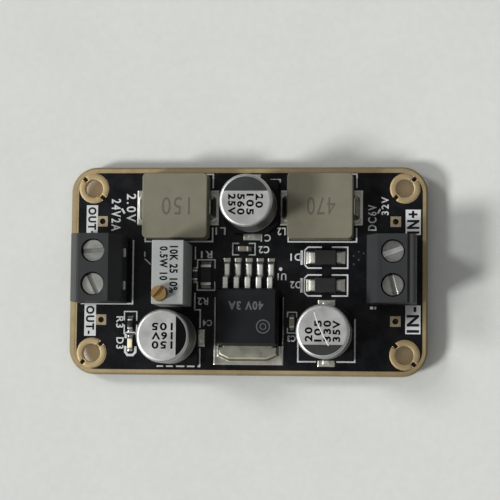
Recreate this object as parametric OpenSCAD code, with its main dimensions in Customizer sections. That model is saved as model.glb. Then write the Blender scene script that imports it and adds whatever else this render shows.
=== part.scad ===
// Step-down voltage converter board: screw terminals at both ends, two moulded inductors,
// three can capacitors, a tab-soldered regulator, two diodes, a multi-turn trimmer and chip parts.
// The board is as long and as wide as its fullest rows and columns of parts need.
// Origin: centre of the mounting holes on the board's underside. +X to the input end, +Z up.

/* [Board] */
// Thickness of the laminate
board_t = 1.6; // [1:0.1:2.4]
// Radius of the board's corners
corner_r = 4; // [2:0.1:4.2]
// Bevel of the board's top edge
edge_bevel = 0.3; // [0.1:0.05:0.4]
// Board edge to the black mask, bevel and bare gold rim together
rim_w = 0.8; // [0.5:0.1:1.2]
// Height of the copper above the laminate
copper_t = 0.05; // [0.03:0.01:0.1]
// Diameter of the mounting holes, plated
hole_d = 3; // [2:0.1:3.4]
// Mounting hole to the short edge of the board
hole_inset_x = 3.5; // [3.3:0.1:4.5]
// Mounting hole to the long edge of the board
hole_inset_y = 3.3; // [3:0.1:3.6]
// Width of the two slits in each mounting pad
pad_slit_w = 0.45; // [0.2:0.05:0.6]
// Copper left between a slit and its hole
pad_slit_web = 0.1; // [0.1:0.05:0.4]
// Mounting pads to the rim, at the nearest point
pad_rim_gap = 0.04; // [0.03:0.01:0.3]
// Diameter of the wire holes, plated
wire_hole_d = 0.9; // [0.6:0.1:1.2]
// Side of the square wire pads
wire_pad_w = 1.6; // [1.4:0.1:2]

/* [Spacing of the parts] */
// Rim to the inductors
top_gap = 0.5; // [0.3:0.1:1.5]
// Rim to the terminals of the middle capacitor
middle_top_gap = 0.3; // [0.2:0.1:1.5]
// Rim to the lowest lands
bottom_gap = 0.63; // [0.3:0.01:1.5]
// Board edge to the wire face of the output block
output_edge_gap = 1.4; // [1.3:0.05:3]
// Board edge to the wire face of the input block
input_edge_gap = 1.65; // [1.3:0.05:3]
// Output terminal block to the output inductor's land, along the board
output_block_gap = 1.45; // [0.3:0.05:3]
// Input terminal block to the input inductor's land, along the board
input_block_gap = 0.8; // [0.3:0.05:3]
// Output inductor's land to the middle capacitor
output_inductor_gap = 0.95; // [0.3:0.05:3]
// Input inductor's land to the middle capacitor
input_inductor_gap = 0.15; // [0.1:0.05:3]
// Inductor to the first diode
inductor_diode_gap = 1.42; // [0.6:0.01:3]
// One diode to the other
diode_gap = 1.85; // [0.8:0.05:3]
// Second diode to the input capacitor's land
diode_capacitor_gap = 1; // [0.4:0.1:3]
// Diode land to the input terminal block
diode_block_gap = 3.4; // [0.8:0.05:4]
// Inductor to the trimmer
inductor_trimmer_gap = 0.78; // [0.3:0.02:3]
// Trimmer to the output capacitor
trimmer_capacitor_gap = 0.57; // [0.3:0.01:3]
// Middle capacitor's land to the chip capacitor below it
capacitor_chip_gap = 0.95; // [0.4:0.05:3]
// That chip capacitor to the regulator's toe lands
chip_regulator_gap = 0.95; // [0.3:0.05:3]
// Trimmer to the chip resistor beside it
trimmer_resistor_gap = 0.06; // [0.05:0.01:1]
// That chip resistor to the large one
resistor_gap = 0.5; // [0.3:0.05:2]
// Large chip resistor to the regulator's first lead
resistor_lead_gap = 2; // [0.6:0.1:3]
// Regulator's tab land to the output capacitor's land
regulator_output_gap = 1.35; // [0.4:0.05:3]
// Regulator's tab land to the chip capacitor on the input side
regulator_chip_gap = 0.9; // [0.4:0.05:3]
// That chip capacitor to the input capacitor's base
chip_input_gap = 0.7; // [0.3:0.05:3]
// Output capacitor's land to the indicator lamp
capacitor_lamp_gap = 0.95; // [0.4:0.05:2]
// Terminal block to the wire pads
block_wire_gap = 1.7; // [0.5:0.1:2]
// Wire pads to the short edge of the board
wire_inset = 4.9; // [4:0.1:6]
// Regulator's centre line to that of the middle capacitor
regulator_shift = 0.35; // [0:0.05:1]
// Chip resistors beside the trimmer, above its middle
resistor_shift = 0.2; // [0:0.05:1]
// Input chip capacitor above the middle of the input capacitor
input_chip_shift = 1.6; // [0:0.05:2]
// Lamp resistor's land below the top of the output capacitor's base
lamp_resistor_drop = 0.8; // [0:0.05:1.5]

/* [Terminal blocks] */
// Distance between the two poles of a block
pole_pitch = 5; // [4.8:0.02:5.4]
// Thickness of the outer side walls
block_side_wall = 0.6; // [0.4:0.05:1]
// Extra thickness of the two end walls
block_end_wall = 0.1; // [0:0.05:0.3]
// Floor under the clamp cages
block_floor = 0.6; // [0.4:0.05:1]
// Wall between the cage and the wire face
block_front_wall = 1.9; // [1.4:0.05:3]
// Wall behind the contact
block_rear_wall = 1.55; // [1.2:0.05:2.4]
// Step from the top face down to the ledge over the wire entries
ledge_drop = 0.2; // [0.1:0.05:0.8]
// Fall of that ledge to the wire face, degrees
ledge_slope = 18; // [8:1:30]
// Radius of the ledge's outer edge
ledge_r = 0.9; // [0.2:0.05:1]
// Drop of the slope at the back
slope_drop = 2.7; // [2:0.1:4]
// Top face from the screw well to the ledge
lip_front = 0.35; // [0.25:0.05:0.6]
// Top face from the screw well to the slope
lip_rear = 0.6; // [0.4:0.05:0.9]
// Flare of the wire entries at the wire face
entry_flare = 0.35; // [0.1:0.05:0.5]
// Width of the windows in the back, where the contacts show
window_w = 1.5; // [0.8:0.1:2]
// Depth of the clamp cages, along the wire
cage_d = 3; // [2.8:0.1:3.6]
// Wall of the clamp cages
cage_wall = 0.5; // [0.4:0.05:0.7]
// Threaded top of the clamp cages
cage_top_t = 1; // [0.8:0.1:1.6]
// Largest wire that the clamp takes
wire_gap = 1.8; // [1.5:0.1:3]
// Running clearance of the cages
cage_clear = 0.1; // [0.05:0.01:0.15]
// Diameter of the clamp screws' shanks
clamp_screw_d = 2.5; // [2:0.1:2.8]
// Clearance of a shank in its cage
thread_clear = 0.05; // [0.03:0.01:0.08]
// Diameter of the clamp screws' heads
clamp_head_d = 3.2; // [3:0.05:3.4]
// Thickness of the clamp screws' heads
clamp_head_t = 1; // [0.8:0.1:1.4]
// Clearance of a head in its well
well_clear = 0.18; // [0.1:0.02:0.25]
// Depth of the heads below the top face
head_sink = 0.7; // [0.5:0.05:1.2]
// Width of the driver slots
clamp_slot_w = 0.7; // [0.3:0.05:0.9]
// Depth of the driver slots
clamp_slot_depth = 0.5; // [0.3:0.05:0.7]
// Turn of the slot in the positive output screw, degrees
output_positive_turn = 4; // [0:1:180]
// Turn of the slot in the negative output screw, degrees
output_negative_turn = 115; // [0:1:180]
// Turn of the slot in the positive input screw, degrees
input_positive_turn = 20; // [0:1:180]
// Turn of the slot in the negative input screw, degrees
input_negative_turn = 104; // [0:1:180]
// Thickness of the contacts' strip
contact_t = 0.6; // [0.4:0.05:0.8]
// Width of the contacts' tongue
contact_w = 2.2; // [1.6:0.1:2.4]
// Width of the contacts' solder pins
contact_pin_w = 1; // [0.6:0.1:1.2]
// Length of the contacts' tails past the back
contact_tail = 0.3; // [0.1:0.05:0.5]
// Length of the pins below the board
pin_tail = 1.5; // [1:0.1:3]

/* [Inductors] */
// Side of an inductor's body along the board
inductor_l = 10; // [8:0.1:12]
// Side of an inductor's body across the board
inductor_w = 10; // [8:0.1:12]
// Height of an inductor's body
inductor_h = 3.8; // [2.8:0.1:5]
// Radius of the inductors' upright edges
inductor_r = 0.75; // [0.4:0.05:1.5]
// Bevel of the inductors' top edges
inductor_bevel = 0.12; // [0.05:0.01:0.3]
// Width of the inductors' terminals
inductor_tail_w = 2.4; // [1.5:0.1:4]
// Height of the terminals up the sides
inductor_tail_h = 1.8; // [1:0.1:2.4]
// Terminal strip thickness
strip_t = 0.2; // [0.1:0.05:0.3]
// Length of the terminals under the body
inductor_fold = 1.6; // [1:0.1:2.5]
// Length of the lands past the body
inductor_land_out = 1.35; // [0.8:0.05:2]
// Width of the inductors' lands
inductor_land_w = 5.4; // [3:0.1:7]

/* [Can capacitors] */
// Diameter of the cans
can_d = 8; // [6.3:0.1:10]
// Height of the capacitors, with their bases
can_h = 10.2; // [7:0.1:12]
// Radius of the cans' top edge
can_top_r = 0.5; // [0.3:0.05:0.8]
// Height of the rolled groove above the base
can_groove_z = 1.4; // [0.8:0.1:2]
// Depth of the rolled groove
can_groove = 0.35; // [0.2:0.05:0.5]
// Margin of the square base around the can
base_margin = 0.15; // [0.1:0.05:0.4]
// Thickness of the base
base_t = 0.9; // [0.6:0.1:1.4]
// Cut of the two corners on the positive side
base_cut = 1.6; // [0.8:0.1:2.2]
// Width of the capacitors' terminals
can_tail_w = 0.9; // [0.6:0.1:1.2]
// Distance between the two terminals under the base
can_tail_gap = 2; // [1.2:0.1:3]
// Length of a land under the base
can_land_in = 2.8; // [1.5:0.1:3]
// Reach of a land past the base
can_land_out = 0.95; // [0.6:0.05:1.4]
// Width of the capacitors' lands
can_land_w = 2.65; // [1.6:0.05:3.2]

/* [Regulator] */
// Width of the moulded body at its parting line
regulator_w = 9.7; // [9:0.1:10.6]
// Length of the moulded body at its parting line
regulator_l = 8.9; // [8:0.1:9.6]
// Height of the moulded body
regulator_h = 4.4; // [3.6:0.1:4.8]
// Draft of the body's sides, each side
regulator_draft = 0.42; // [0.2:0.02:0.6]
// Height of the parting line, where the leads come out
parting_z = 2.2; // [1.8:0.1:2.4]
// Thickness of the copper tab
tab_t = 1.27; // [1:0.05:1.5]
// Length of the tab past the body
tab_out = 1.95; // [1.2:0.05:2.4]
// Width of the tab inside the body
tab_inner_w = 7.8; // [6:0.1:8]
// Length of the tab inside the body
tab_inner_l = 7.5; // [5:0.1:7.6]
// Cut of the tab's two free corners, along its end
tab_cut_w = 1.5; // [0.3:0.1:2.4]
// Cut of the tab's two free corners, along its sides
tab_cut = 0.7; // [0.3:0.1:1.1]
// Distance between leads
lead_pitch = 1.7; // [1.5:0.01:1.9]
// Width of a lead
lead_w = 0.85; // [0.6:0.05:1]
// Thickness of a lead
lead_t = 0.5; // [0.35:0.05:0.6]
// Reach of the leads past the body
lead_reach = 3.72; // [3.6:0.02:4.4]
// Level part of a lead next to the body
lead_shoulder = 1.6; // [1:0.05:1.7]
// Flat foot of a lead
lead_foot = 1.74; // [1:0.02:1.8]
// Length of a lead inside the body
lead_root = 0.8; // [0.6:0.05:1]
// Land beside the tab
regulator_land_margin = 0.5; // [0.2:0.05:0.6]
// Land around the feet
foot_land_margin = 0.12; // [0.05:0.01:0.3]
// Land past the toes
toe_land_out = 0.93; // [0.4:0.01:1.2]
// Land past the tab's end
tab_land_out = 0.9; // [0.4:0.05:1.4]

/* [Diodes] */
// Length of a diode's body
diode_l = 3.4; // [2.8:0.1:4.4]
// Width of a diode's body
diode_w = 2.4; // [2:0.1:3]
// Height of a diode's body
diode_h = 1.1; // [0.9:0.1:2]
// Draft of the body's sides, each side
diode_draft = 0.12; // [0.05:0.01:0.2]
// Length of the flat leads under the body
diode_lead_in = 0.35; // [0.2:0.05:0.6]
// Reach of the flat leads past the body
diode_lead_out = 0.65; // [0.4:0.05:1]
// Width of the flat leads
diode_lead_w = 1.5; // [1.2:0.1:1.9]
// Land past the end of a lead
diode_land_out = 0.65; // [0.3:0.05:1]
// Width of the diodes' lands
diode_land_w = 1.95; // [1.6:0.05:2.4]

/* [Trimmer] */
// Width of the trimmer
trimmer_w = 4.8; // [4.4:0.1:5.4]
// Length of the trimmer
trimmer_l = 9.53; // [8.8:0.01:10.4]
// Height of the trimmer
trimmer_h = 10; // [8:0.1:11]
// Chamfer of its top edges
trimmer_chamfer = 0.1; // [0.05:0.01:0.12]
// Height of its stand-off feet
standoff_h = 0.4; // [0.2:0.05:0.8]
// Side of its stand-off feet
standoff_w = 1; // [0.6:0.1:1.4]
// Diameter of the adjusting screw
trimmer_screw_d = 2.2; // [1.8:0.1:2.4]
// Height of the adjusting screw above the housing
trimmer_screw_h = 1.5; // [0.8:0.1:2]
// Depth of the adjusting screw in the housing
trimmer_screw_depth = 2.5; // [1.5:0.1:4]
// Clearance of the adjusting screw in its bore
trimmer_screw_clear = 0.06; // [0.03:0.01:0.1]
// Wall between the adjusting screw's bore and the nearest long side
trimmer_side_wall = 0.14; // [0.1:0.02:1]
// Wall between the adjusting screw's bore and the nearest short end
trimmer_end_wall = 0.39; // [0.15:0.02:2]
// Width of the adjusting screw's slot
trimmer_slot_w = 0.6; // [0.4:0.05:0.8]
// Depth of the adjusting screw's slot
trimmer_slot_depth = 0.8; // [0.4:0.05:1]
// Turn of that slot, degrees
trimmer_turn = 50; // [0:1:180]
// Distance between the trimmer's pins
trimmer_pitch = 2.54; // [2:0.02:3]
// Diameter of the trimmer's pins
trimmer_pin_d = 0.5; // [0.4:0.05:0.7]

/* [Chip parts] */
// Length of the small chips
chip_l = 1.6; // [1.4:0.1:2]
// Width of the small chips
chip_w = 0.8; // [0.6:0.1:1]
// Height of the small resistors
chip_resistor_h = 0.45; // [0.35:0.05:0.6]
// Height of the small capacitors
chip_capacitor_h = 0.8; // [0.5:0.05:1]
// Length of the end caps
chip_end = 0.3; // [0.2:0.05:0.4]
// Length of the large resistor
large_resistor_l = 3.2; // [2.6:0.1:3.6]
// Width of the large resistor
large_resistor_w = 1.6; // [1.2:0.1:1.8]
// Height of the large resistor
large_resistor_h = 0.55; // [0.45:0.05:0.7]
// Length of the large resistor's end caps
large_resistor_end = 0.45; // [0.3:0.05:0.6]
// Land past the end of a chip
chip_land_out = 0.45; // [0.2:0.05:0.6]
// Land of a small chip under its end
chip_land_in = 0.4; // [0.3:0.05:0.5]
// Height of the lamp's base
lamp_base_h = 0.25; // [0.2:0.05:0.4]
// Height of the lamp's lens
lamp_lens_h = 0.4; // [0.3:0.05:0.6]
// Draft of the lens, each side
lamp_lens_draft = 0.05; // [0.02:0.01:0.1]
// Lamp and its resistor, land to land
lamp_pair_gap = 0.45; // [0.3:0.05:1]

/* [Solder] */
// Height of the solder cones on the through pins
cone_h = 0.9; // [0.5:0.05:1]
// Width of the land around a through hole
cone_land = 0.55; // [0.3:0.05:0.7]
// Clearance of a through pin in its hole
pin_clear = 0.1; // [0.05:0.01:0.2]

/* [Hidden] */
$fn = 48;
// A cut runs this far past the face that it opens
eps = 0.2;
// A flat face runs this far into a round that it meets
bite = 0.05;
// Leads of the regulator
lead_count = 5;

// Capacitor footprint
base_w = can_d + 2 * base_margin;
can_span = base_w + 2 * can_land_out;
// Inductor footprint along the board
inductor_span = inductor_l + 2 * inductor_land_out;
// Diode footprint along the board
diode_span = diode_l + 2 * (diode_lead_out + diode_land_out);
// Chip footprint
chip_span = chip_l + 2 * chip_land_out;
// Regulator, from the toes' land to the end of the tab's land
regulator_toe_land = lead_reach + toe_land_out;
regulator_span = regulator_toe_land + regulator_l + tab_out + tab_land_out;
regulator_land_w = regulator_w + 2 * regulator_land_margin;
lead_half = (lead_count - 1) / 2 * lead_pitch + lead_w / 2;

// Heights inside a terminal block, from the board's top face
cage_z = block_floor + cage_clear / 2;
cage_floor_z = cage_z + cage_wall;
tongue_z = cage_floor_z + wire_gap;
tongue_top = tongue_z + contact_t;
cage_roof_z = tongue_top + cage_clear;
cage_top = cage_roof_z + cage_top_t;
clamp_travel = wire_gap - cage_clear;
head_z = cage_top + clamp_travel + cage_clear;
block_h = head_z + clamp_head_t + head_sink;
// Plan of a terminal block, from the screws' row
well_d = clamp_head_d + 2 * well_clear;
block_front = cage_d / 2 + cage_clear + block_front_wall;
contact_rear = cage_d / 2 + 2 * cage_clear + contact_t;
block_rear = contact_rear + cage_clear + block_rear_wall;
block_depth = block_front + block_rear;
cage_w = pole_pitch - 2 * (block_side_wall + cage_clear);
block_w = 2 * (pole_pitch + block_end_wall);
entry_w = cage_w - 2 * cage_wall;

// Holes of the through pins
contact_hole_d = norm([contact_pin_w, contact_t]) + 2 * pin_clear;
trimmer_hole_d = trimmer_pin_d + 2 * pin_clear;
// Radius of the bore of the trimmer's screw
trimmer_bore_r = trimmer_screw_d / 2 + trimmer_screw_clear;

// The fullest row sets the length, the fullest column the width
board_l = output_edge_gap + input_edge_gap + 2 * (block_depth + inductor_span)
    + output_block_gap + input_block_gap + output_inductor_gap + base_w + input_inductor_gap;
output_column = inductor_w + top_gap + inductor_trimmer_gap + trimmer_l
    + trimmer_capacitor_gap + base_w + bottom_gap;
middle_column = middle_top_gap + can_span + capacitor_chip_gap + chip_w + chip_regulator_gap
    + regulator_span + bottom_gap;
input_column = top_gap + inductor_w + inductor_diode_gap + 2 * diode_w + diode_gap
    + diode_capacitor_gap + can_span + bottom_gap;
board_w = 2 * rim_w + max(output_column, middle_column, input_column);

// Places of the parts
rim_top = board_w / 2 - rim_w;
seat_z = board_t + copper_t;
hole_x = board_l / 2 - hole_inset_x;
hole_y = board_w / 2 - hole_inset_y;
// Mounting hole from the centre of the corner's arc, then its distance to the rim
arc_x = corner_r - hole_inset_x;
arc_y = corner_r - hole_inset_y;
pad_room = corner_r - norm([max(arc_x, 0), max(arc_y, 0)]) - min(max(arc_x, arc_y), 0) - rim_w;
mounting_pad_d = 2 * (pad_room - pad_rim_gap);
output_block_x = -board_l / 2 + output_edge_gap + block_front;
input_block_x = board_l / 2 - input_edge_gap - block_front;
wire_x = board_l / 2 - wire_inset;
wire_y = block_w / 2 + block_wire_gap + wire_pad_w / 2;
inductor_y = rim_top - top_gap - inductor_w / 2;
output_inductor_x = output_block_x + block_rear + output_block_gap + inductor_span / 2;
input_inductor_x = input_block_x - block_rear - input_block_gap - inductor_span / 2;
middle_x = output_inductor_x + inductor_span / 2 + output_inductor_gap + base_w / 2;
middle_y = rim_top - middle_top_gap - can_span / 2;
upper_chip_y = middle_y - can_span / 2 - capacitor_chip_gap - chip_w / 2;
regulator_x = middle_x - regulator_shift;
regulator_y = upper_chip_y - chip_w / 2 - chip_regulator_gap - regulator_toe_land;
upper_chip_x = regulator_x - lead_pitch / 2;
upper_diode_y = inductor_y - inductor_w / 2 - inductor_diode_gap - diode_w / 2;
lower_diode_y = upper_diode_y - diode_w - diode_gap;
diode_x = input_block_x - block_rear - diode_block_gap - diode_span / 2;
large_resistor_x = regulator_x - lead_half - resistor_lead_gap - large_resistor_w / 2;
feedback_x = large_resistor_x - large_resistor_w / 2 - resistor_gap - chip_w / 2;
trimmer_x = feedback_x - chip_w / 2 - trimmer_resistor_gap - trimmer_w / 2;
trimmer_y = inductor_y - inductor_w / 2 - inductor_trimmer_gap - trimmer_l / 2;
resistor_y = trimmer_y + resistor_shift;
output_capacitor_x = regulator_x - regulator_land_w / 2 - regulator_output_gap - can_span / 2;
output_capacitor_y = trimmer_y - trimmer_l / 2 - trimmer_capacitor_gap - base_w / 2;
input_chip_x = regulator_x + regulator_land_w / 2 + regulator_chip_gap + chip_w / 2;
input_capacitor_x = input_chip_x + chip_w / 2 + chip_input_gap + base_w / 2;
input_capacitor_y = lower_diode_y - diode_w / 2 - diode_capacitor_gap - can_span / 2;
input_chip_y = input_capacitor_y + input_chip_shift;
lamp_x = output_capacitor_x - can_span / 2 - capacitor_lamp_gap - chip_w / 2;
lamp_resistor_y = output_capacitor_y + (base_w - chip_span) / 2 - lamp_resistor_drop;
lamp_y = lamp_resistor_y - chip_span - lamp_pair_gap;

board_colour = "#1c1c1e";
gold_colour = "#b9a36a";
tin_colour = "#c9c9c6";
plastic_colour = "#2b2b2d";
steel_colour = "#a9aaa6";
iron_colour = "#7a7666";
aluminium_colour = "#c4c6c8";
mould_colour = "#26272a";
trimmer_colour = "#b9bcbf";
brass_colour = "#c2a25a";
ceramic_colour = "#b59a78";
film_colour = "#1e1e20";
lamp_base_colour = "#e8e4d6";
lens_colour = "#f0e6a8";

// Plate with round corners, standing on z = 0
module rounded_plate(l, w, r, t) {
    translate([-l / 2 + r, -w / 2, 0])
        cube([l - 2 * r, w, t]);
    translate([-l / 2, -w / 2 + r, 0])
        cube([l, w - 2 * r, t]);
    for (x = [-1, 1], y = [-1, 1])
        translate([x * (l / 2 - r), y * (w / 2 - r), 0])
            cylinder(r = r, h = t);
}

// Box centred in plan, standing on z = 0
module block(l, w, h) {
    translate([-l / 2, -w / 2, 0])
        cube([l, w, h]);
}

// Profile in x and z, extruded along y by w and centred there
module along_y(w) {
    translate([0, w / 2, 0])
        rotate([90, 0, 0])
            linear_extrude(w)
                children();
}

// Profile in y and z, extruded along x by l and centred there
module along_x(l) {
    translate([-l / 2, 0, 0])
        rotate([90, 0, 90])
            linear_extrude(l)
                children();
}

// Width w at the height mid, narrower by d on each side at the top and at the bottom
module drafted_profile(w, h, mid, d) {
    half = w / 2;
    polygon([
        [d - half, 0], [half - d, 0], [half, mid],
        [half - d, h], [d - half, h], [-half, mid]
    ]);
}

// Moulded body with draft above and below its parting line
module drafted_body(l, w, h, mid, d) {
    intersection() {
        along_y(w)
            drafted_profile(l, h, mid, d);
        along_x(l)
            drafted_profile(w, h, mid, d);
    }
}

// Width w, height h, with its two top corners cut by c
module chamfered_profile(w, h, c) {
    half = w / 2;
    polygon([[-half, 0], [half, 0], [half, h - c], [half - c, h], [c - half, h], [-half, h - c]]);
}

// Box with its upright and top edges chamfered
module chamfered_block(l, w, h, c) {
    intersection() {
        along_y(w)
            chamfered_profile(l, h, c);
        along_x(l)
            chamfered_profile(w, h, c);
        linear_extrude(h)
            polygon([
                for (s = [[1, 1], [-1, 1], [-1, -1], [1, -1]])
                    for (k = s[0] * s[1] > 0 ? [0, 1] : [1, 0])
                        [s[0] * (l / 2 - k * c), s[1] * (w / 2 - (1 - k) * c)]
            ]);
    }
}

// Plate with round corners and its top edge bevelled by c, standing on z = 0
module bevelled_plate(l, w, r, t, c) {
    along_y(w - 2 * r)
        chamfered_profile(l, t, c);
    along_x(l - 2 * r)
        chamfered_profile(w, t, c);
    for (x = [-1, 1], y = [-1, 1])
        translate([x * (l / 2 - r), y * (w / 2 - r), 0]) {
            cylinder(r = r, h = t - c);
            translate([0, 0, t - c])
                cylinder(r1 = r, r2 = r - c, h = c);
        }
}

// Copies at the four places (x, y) around the board's centre
module at_corners(x, y) {
    for (i = [-1, 1], j = [-1, 1])
        translate([i * x, j * y, 0])
            rotate([0, 0, atan2(j, i)])
                children();
}

// Places of the through pins: the blocks' contacts, then the trimmer's
module at_contact_pins() {
    for (side = [-1, 1], row = [-1, 1])
        translate([block_x(side) - side * (contact_rear - contact_t / 2), row * pole_pitch / 2, 0])
            children();
}
module at_trimmer_pins() {
    for (i = [-1, 0, 1])
        translate([trimmer_x, trimmer_y + i * trimmer_pitch, 0])
            children();
}

module circuit_board() {
    color(board_colour)
        difference() {
            bevelled_plate(board_l, board_w, corner_r, board_t, edge_bevel);
            translate([0, 0, -eps]) {
                at_corners(hole_x, hole_y)
                    cylinder(d = hole_d + 2 * copper_t, h = board_t + 2 * eps);
                at_corners(wire_x, wire_y)
                    cylinder(d = wire_hole_d + 2 * copper_t, h = board_t + 2 * eps);
                at_contact_pins()
                    cylinder(d = contact_hole_d, h = board_t + 2 * eps);
                at_trimmer_pins()
                    cylinder(d = trimmer_hole_d, h = board_t + 2 * eps);
            }
        }
}

module edge_rim() {
    color(gold_colour)
        translate([0, 0, board_t])
            difference() {
                rounded_plate(board_l - 2 * edge_bevel, board_w - 2 * edge_bevel, corner_r - edge_bevel,
                    copper_t);
                translate([0, 0, -eps])
                    rounded_plate(board_l - 2 * rim_w, board_w - 2 * rim_w, corner_r - rim_w,
                        copper_t + 2 * eps);
            }
}

// A plated hole: the pad on both faces, joined by the barrel. The children are the pad's outline
module plated_hole(d) {
    difference() {
        union() {
            for (z = [-copper_t, board_t])
                translate([0, 0, z])
                    linear_extrude(copper_t)
                        children();
            cylinder(d = d + 2 * copper_t, h = board_t);
        }
        translate([0, 0, -copper_t - eps])
            cylinder(d = d, h = board_t + 2 * copper_t + 2 * eps);
    }
}

module mounting_pads() {
    slit_start = hole_d / 2 + pad_slit_web;
    color(gold_colour)
        at_corners(hole_x, hole_y)
            difference() {
                plated_hole(hole_d)
                    circle(d = mounting_pad_d);
                for (turn = [0, 180])
                    rotate([0, 0, turn])
                        translate([slit_start, -pad_slit_w / 2, board_t])
                            cube([mounting_pad_d, pad_slit_w, copper_t + eps]);
            }
}

module wire_pads() {
    color(gold_colour)
        for (i = [-1, 1], j = [-1, 1])
            translate([i * wire_x, j * wire_y, 0])
                plated_hole(wire_hole_d)
                    square(wire_pad_w, center = true);
}

// One land, centred at x, y
module land(x, y, l, w) {
    translate([x, y, board_t])
        block(l, w, copper_t);
}

// Two lands, out to span along one direction, each reach long and w wide
module land_pair(x, y, span, reach, w, turn = 0) {
    for (i = [-1, 1])
        translate([x, y, 0])
            rotate([0, 0, turn])
                land(i * (span - reach) / 2, 0, reach, w);
}

module component_lands() {
    chip_reach = chip_land_out + chip_land_in;
    can_reach = can_land_out + can_land_in;
    diode_reach = diode_lead_in + diode_lead_out + diode_land_out;
    tab_land_l = tab_inner_l + tab_out + tab_land_out;
    foot_land_l = lead_foot + toe_land_out + foot_land_margin;
    color(tin_colour) {
        for (x = [output_inductor_x, input_inductor_x])
            land_pair(x, inductor_y, inductor_span, inductor_fold + inductor_land_out, inductor_land_w);
        land_pair(output_capacitor_x, output_capacitor_y, can_span, can_reach, can_land_w);
        land_pair(input_capacitor_x, input_capacitor_y, can_span, can_reach, can_land_w, 90);
        land_pair(middle_x, middle_y, can_span, can_reach, can_land_w, 90);
        for (y = [upper_diode_y, lower_diode_y])
            land_pair(diode_x, y, diode_span, diode_reach, diode_land_w);
        land(regulator_x, regulator_y - regulator_l - tab_out - tab_land_out + tab_land_l / 2,
            regulator_land_w, tab_land_l);
        for (i = [0 : lead_count - 1])
            land(lead_x(i), regulator_y + regulator_toe_land - foot_land_l / 2,
                lead_w + 2 * foot_land_margin, foot_land_l);
        land_pair(large_resistor_x, resistor_y, large_resistor_l + 2 * chip_land_out,
            large_resistor_end + chip_land_out, large_resistor_w, 90);
        land_pair(feedback_x, resistor_y, chip_span, chip_reach, chip_w, 90);
        land_pair(upper_chip_x, upper_chip_y, chip_span, chip_reach, chip_w);
        land_pair(input_chip_x, input_chip_y, chip_span, chip_reach, chip_w, 90);
        land_pair(lamp_x, lamp_resistor_y, chip_span, chip_reach, chip_w, 90);
        land_pair(lamp_x, lamp_y, chip_span, chip_reach, chip_w, 90);
    }
}
function lead_x(i) = regulator_x + (i - (lead_count - 1) / 2) * lead_pitch;

// A terminal block's own frame: +X out of the wire face, origin under the row of screws
module at_block(side) {
    translate([block_x(side), 0, board_t])
        rotate([0, 0, side > 0 ? 0 : 180])
            children();
}

function block_x(side) = side > 0 ? input_block_x : output_block_x;

// One pole of a terminal block, its screw's axis on z
module at_pole(side, row) {
    at_block(side)
        translate([0, side * row * pole_pitch / 2, 0])
            children();
}

// Side view of a block: sloping ledge over the wire entries, flat top, steep slope at the back
module block_profile() {
    top_front = well_d / 2 + lip_front;
    top_rear = well_d / 2 + lip_rear;
    ledge_z = block_h - ledge_drop;
    // Centre of the ledge's round edge, and the point where the fall runs into it
    round_x = block_front - ledge_r;
    meet_r = ledge_r - bite;
    meet_x = round_x + meet_r * sin(ledge_slope);
    meet_z = ledge_z - (meet_x - top_front) * tan(ledge_slope);
    round_z = meet_z - meet_r * cos(ledge_slope);
    polygon([
        [-block_rear, 0], [round_x, 0], [round_x, round_z], [meet_x, meet_z],
        [top_front, ledge_z], [top_front, block_h], [-top_rear, block_h],
        [-block_rear, block_h - slope_drop]
    ]);
    translate([round_x - ledge_r, 0])
        square([2 * ledge_r, round_z]);
    translate([round_x, round_z])
        circle(r = ledge_r);
}

// Space that widens from the cage to the wire face, in plan and in height
module wire_entry() {
    inner = cage_d / 2;
    outer = block_front + eps;
    intersection() {
        linear_extrude(block_h)
            polygon([
                [inner, -entry_w / 2], [outer, -entry_w / 2 - entry_flare],
                [outer, entry_w / 2 + entry_flare], [inner, entry_w / 2]
            ]);
        along_y(pole_pitch)
            polygon([
                [inner, cage_floor_z], [outer, cage_floor_z - entry_flare],
                [outer, tongue_z + entry_flare], [inner, tongue_z]
            ]);
    }
}

// Everything that is hollow at one pole
module pole_space() {
    cavity_l = cage_d + 2 * cage_clear;
    cavity_w = cage_w + 2 * cage_clear;
    pocket_l = contact_rear + cage_clear;
    pocket_w = contact_w + 2 * cage_clear;
    translate([0, 0, block_floor])
        block(cavity_l, cavity_w, head_z - block_floor);
    translate([0, 0, head_z - eps])
        cylinder(d = well_d, h = block_h);
    wire_entry();
    translate([-pocket_l, -pocket_w / 2, -eps])
        cube([contact_t + 2 * cage_clear, pocket_w, tongue_top + cage_clear + eps]);
    translate([-pocket_l, -pocket_w / 2, block_floor])
        cube([pocket_l, pocket_w, tongue_top + cage_clear - block_floor]);
    translate([-block_rear - eps, -window_w / 2, tongue_z - cage_clear])
        cube([block_rear + eps - contact_rear, window_w, contact_t + 2 * cage_clear]);
}

module terminal_housing(side) {
    color(plastic_colour)
        difference() {
            at_block(side)
                along_y(block_w)
                    block_profile();
            for (row = [-1, 1])
                at_pole(side, row)
                    pole_space();
        }
}
module output_terminal_housing() terminal_housing(-1);
module input_terminal_housing() terminal_housing(1);

// Fixed contact: solder pin, riser behind the cage, tongue through it and tail out of the rear window
module contact(side, row) {
    tail_w = window_w - 2 * cage_clear;
    at_pole(side, row) {
        translate([-contact_rear, -contact_pin_w / 2, -board_t - pin_tail])
            cube([contact_t, contact_pin_w, board_t + pin_tail]);
        translate([-contact_rear, -contact_w / 2, 0])
            cube([contact_t, contact_w, tongue_top]);
        translate([-contact_rear, -contact_w / 2, tongue_z])
            cube([contact_rear + cage_d / 2, contact_w, contact_t]);
        translate([-block_rear - contact_tail, -tail_w / 2, tongue_z])
            cube([block_rear + contact_tail, tail_w, contact_t]);
    }
}
module contacts(side) {
    color(tin_colour)
        for (row = [-1, 1])
            contact(side, row);
}
module output_contacts() contacts(-1);
module input_contacts() contacts(1);

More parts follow.
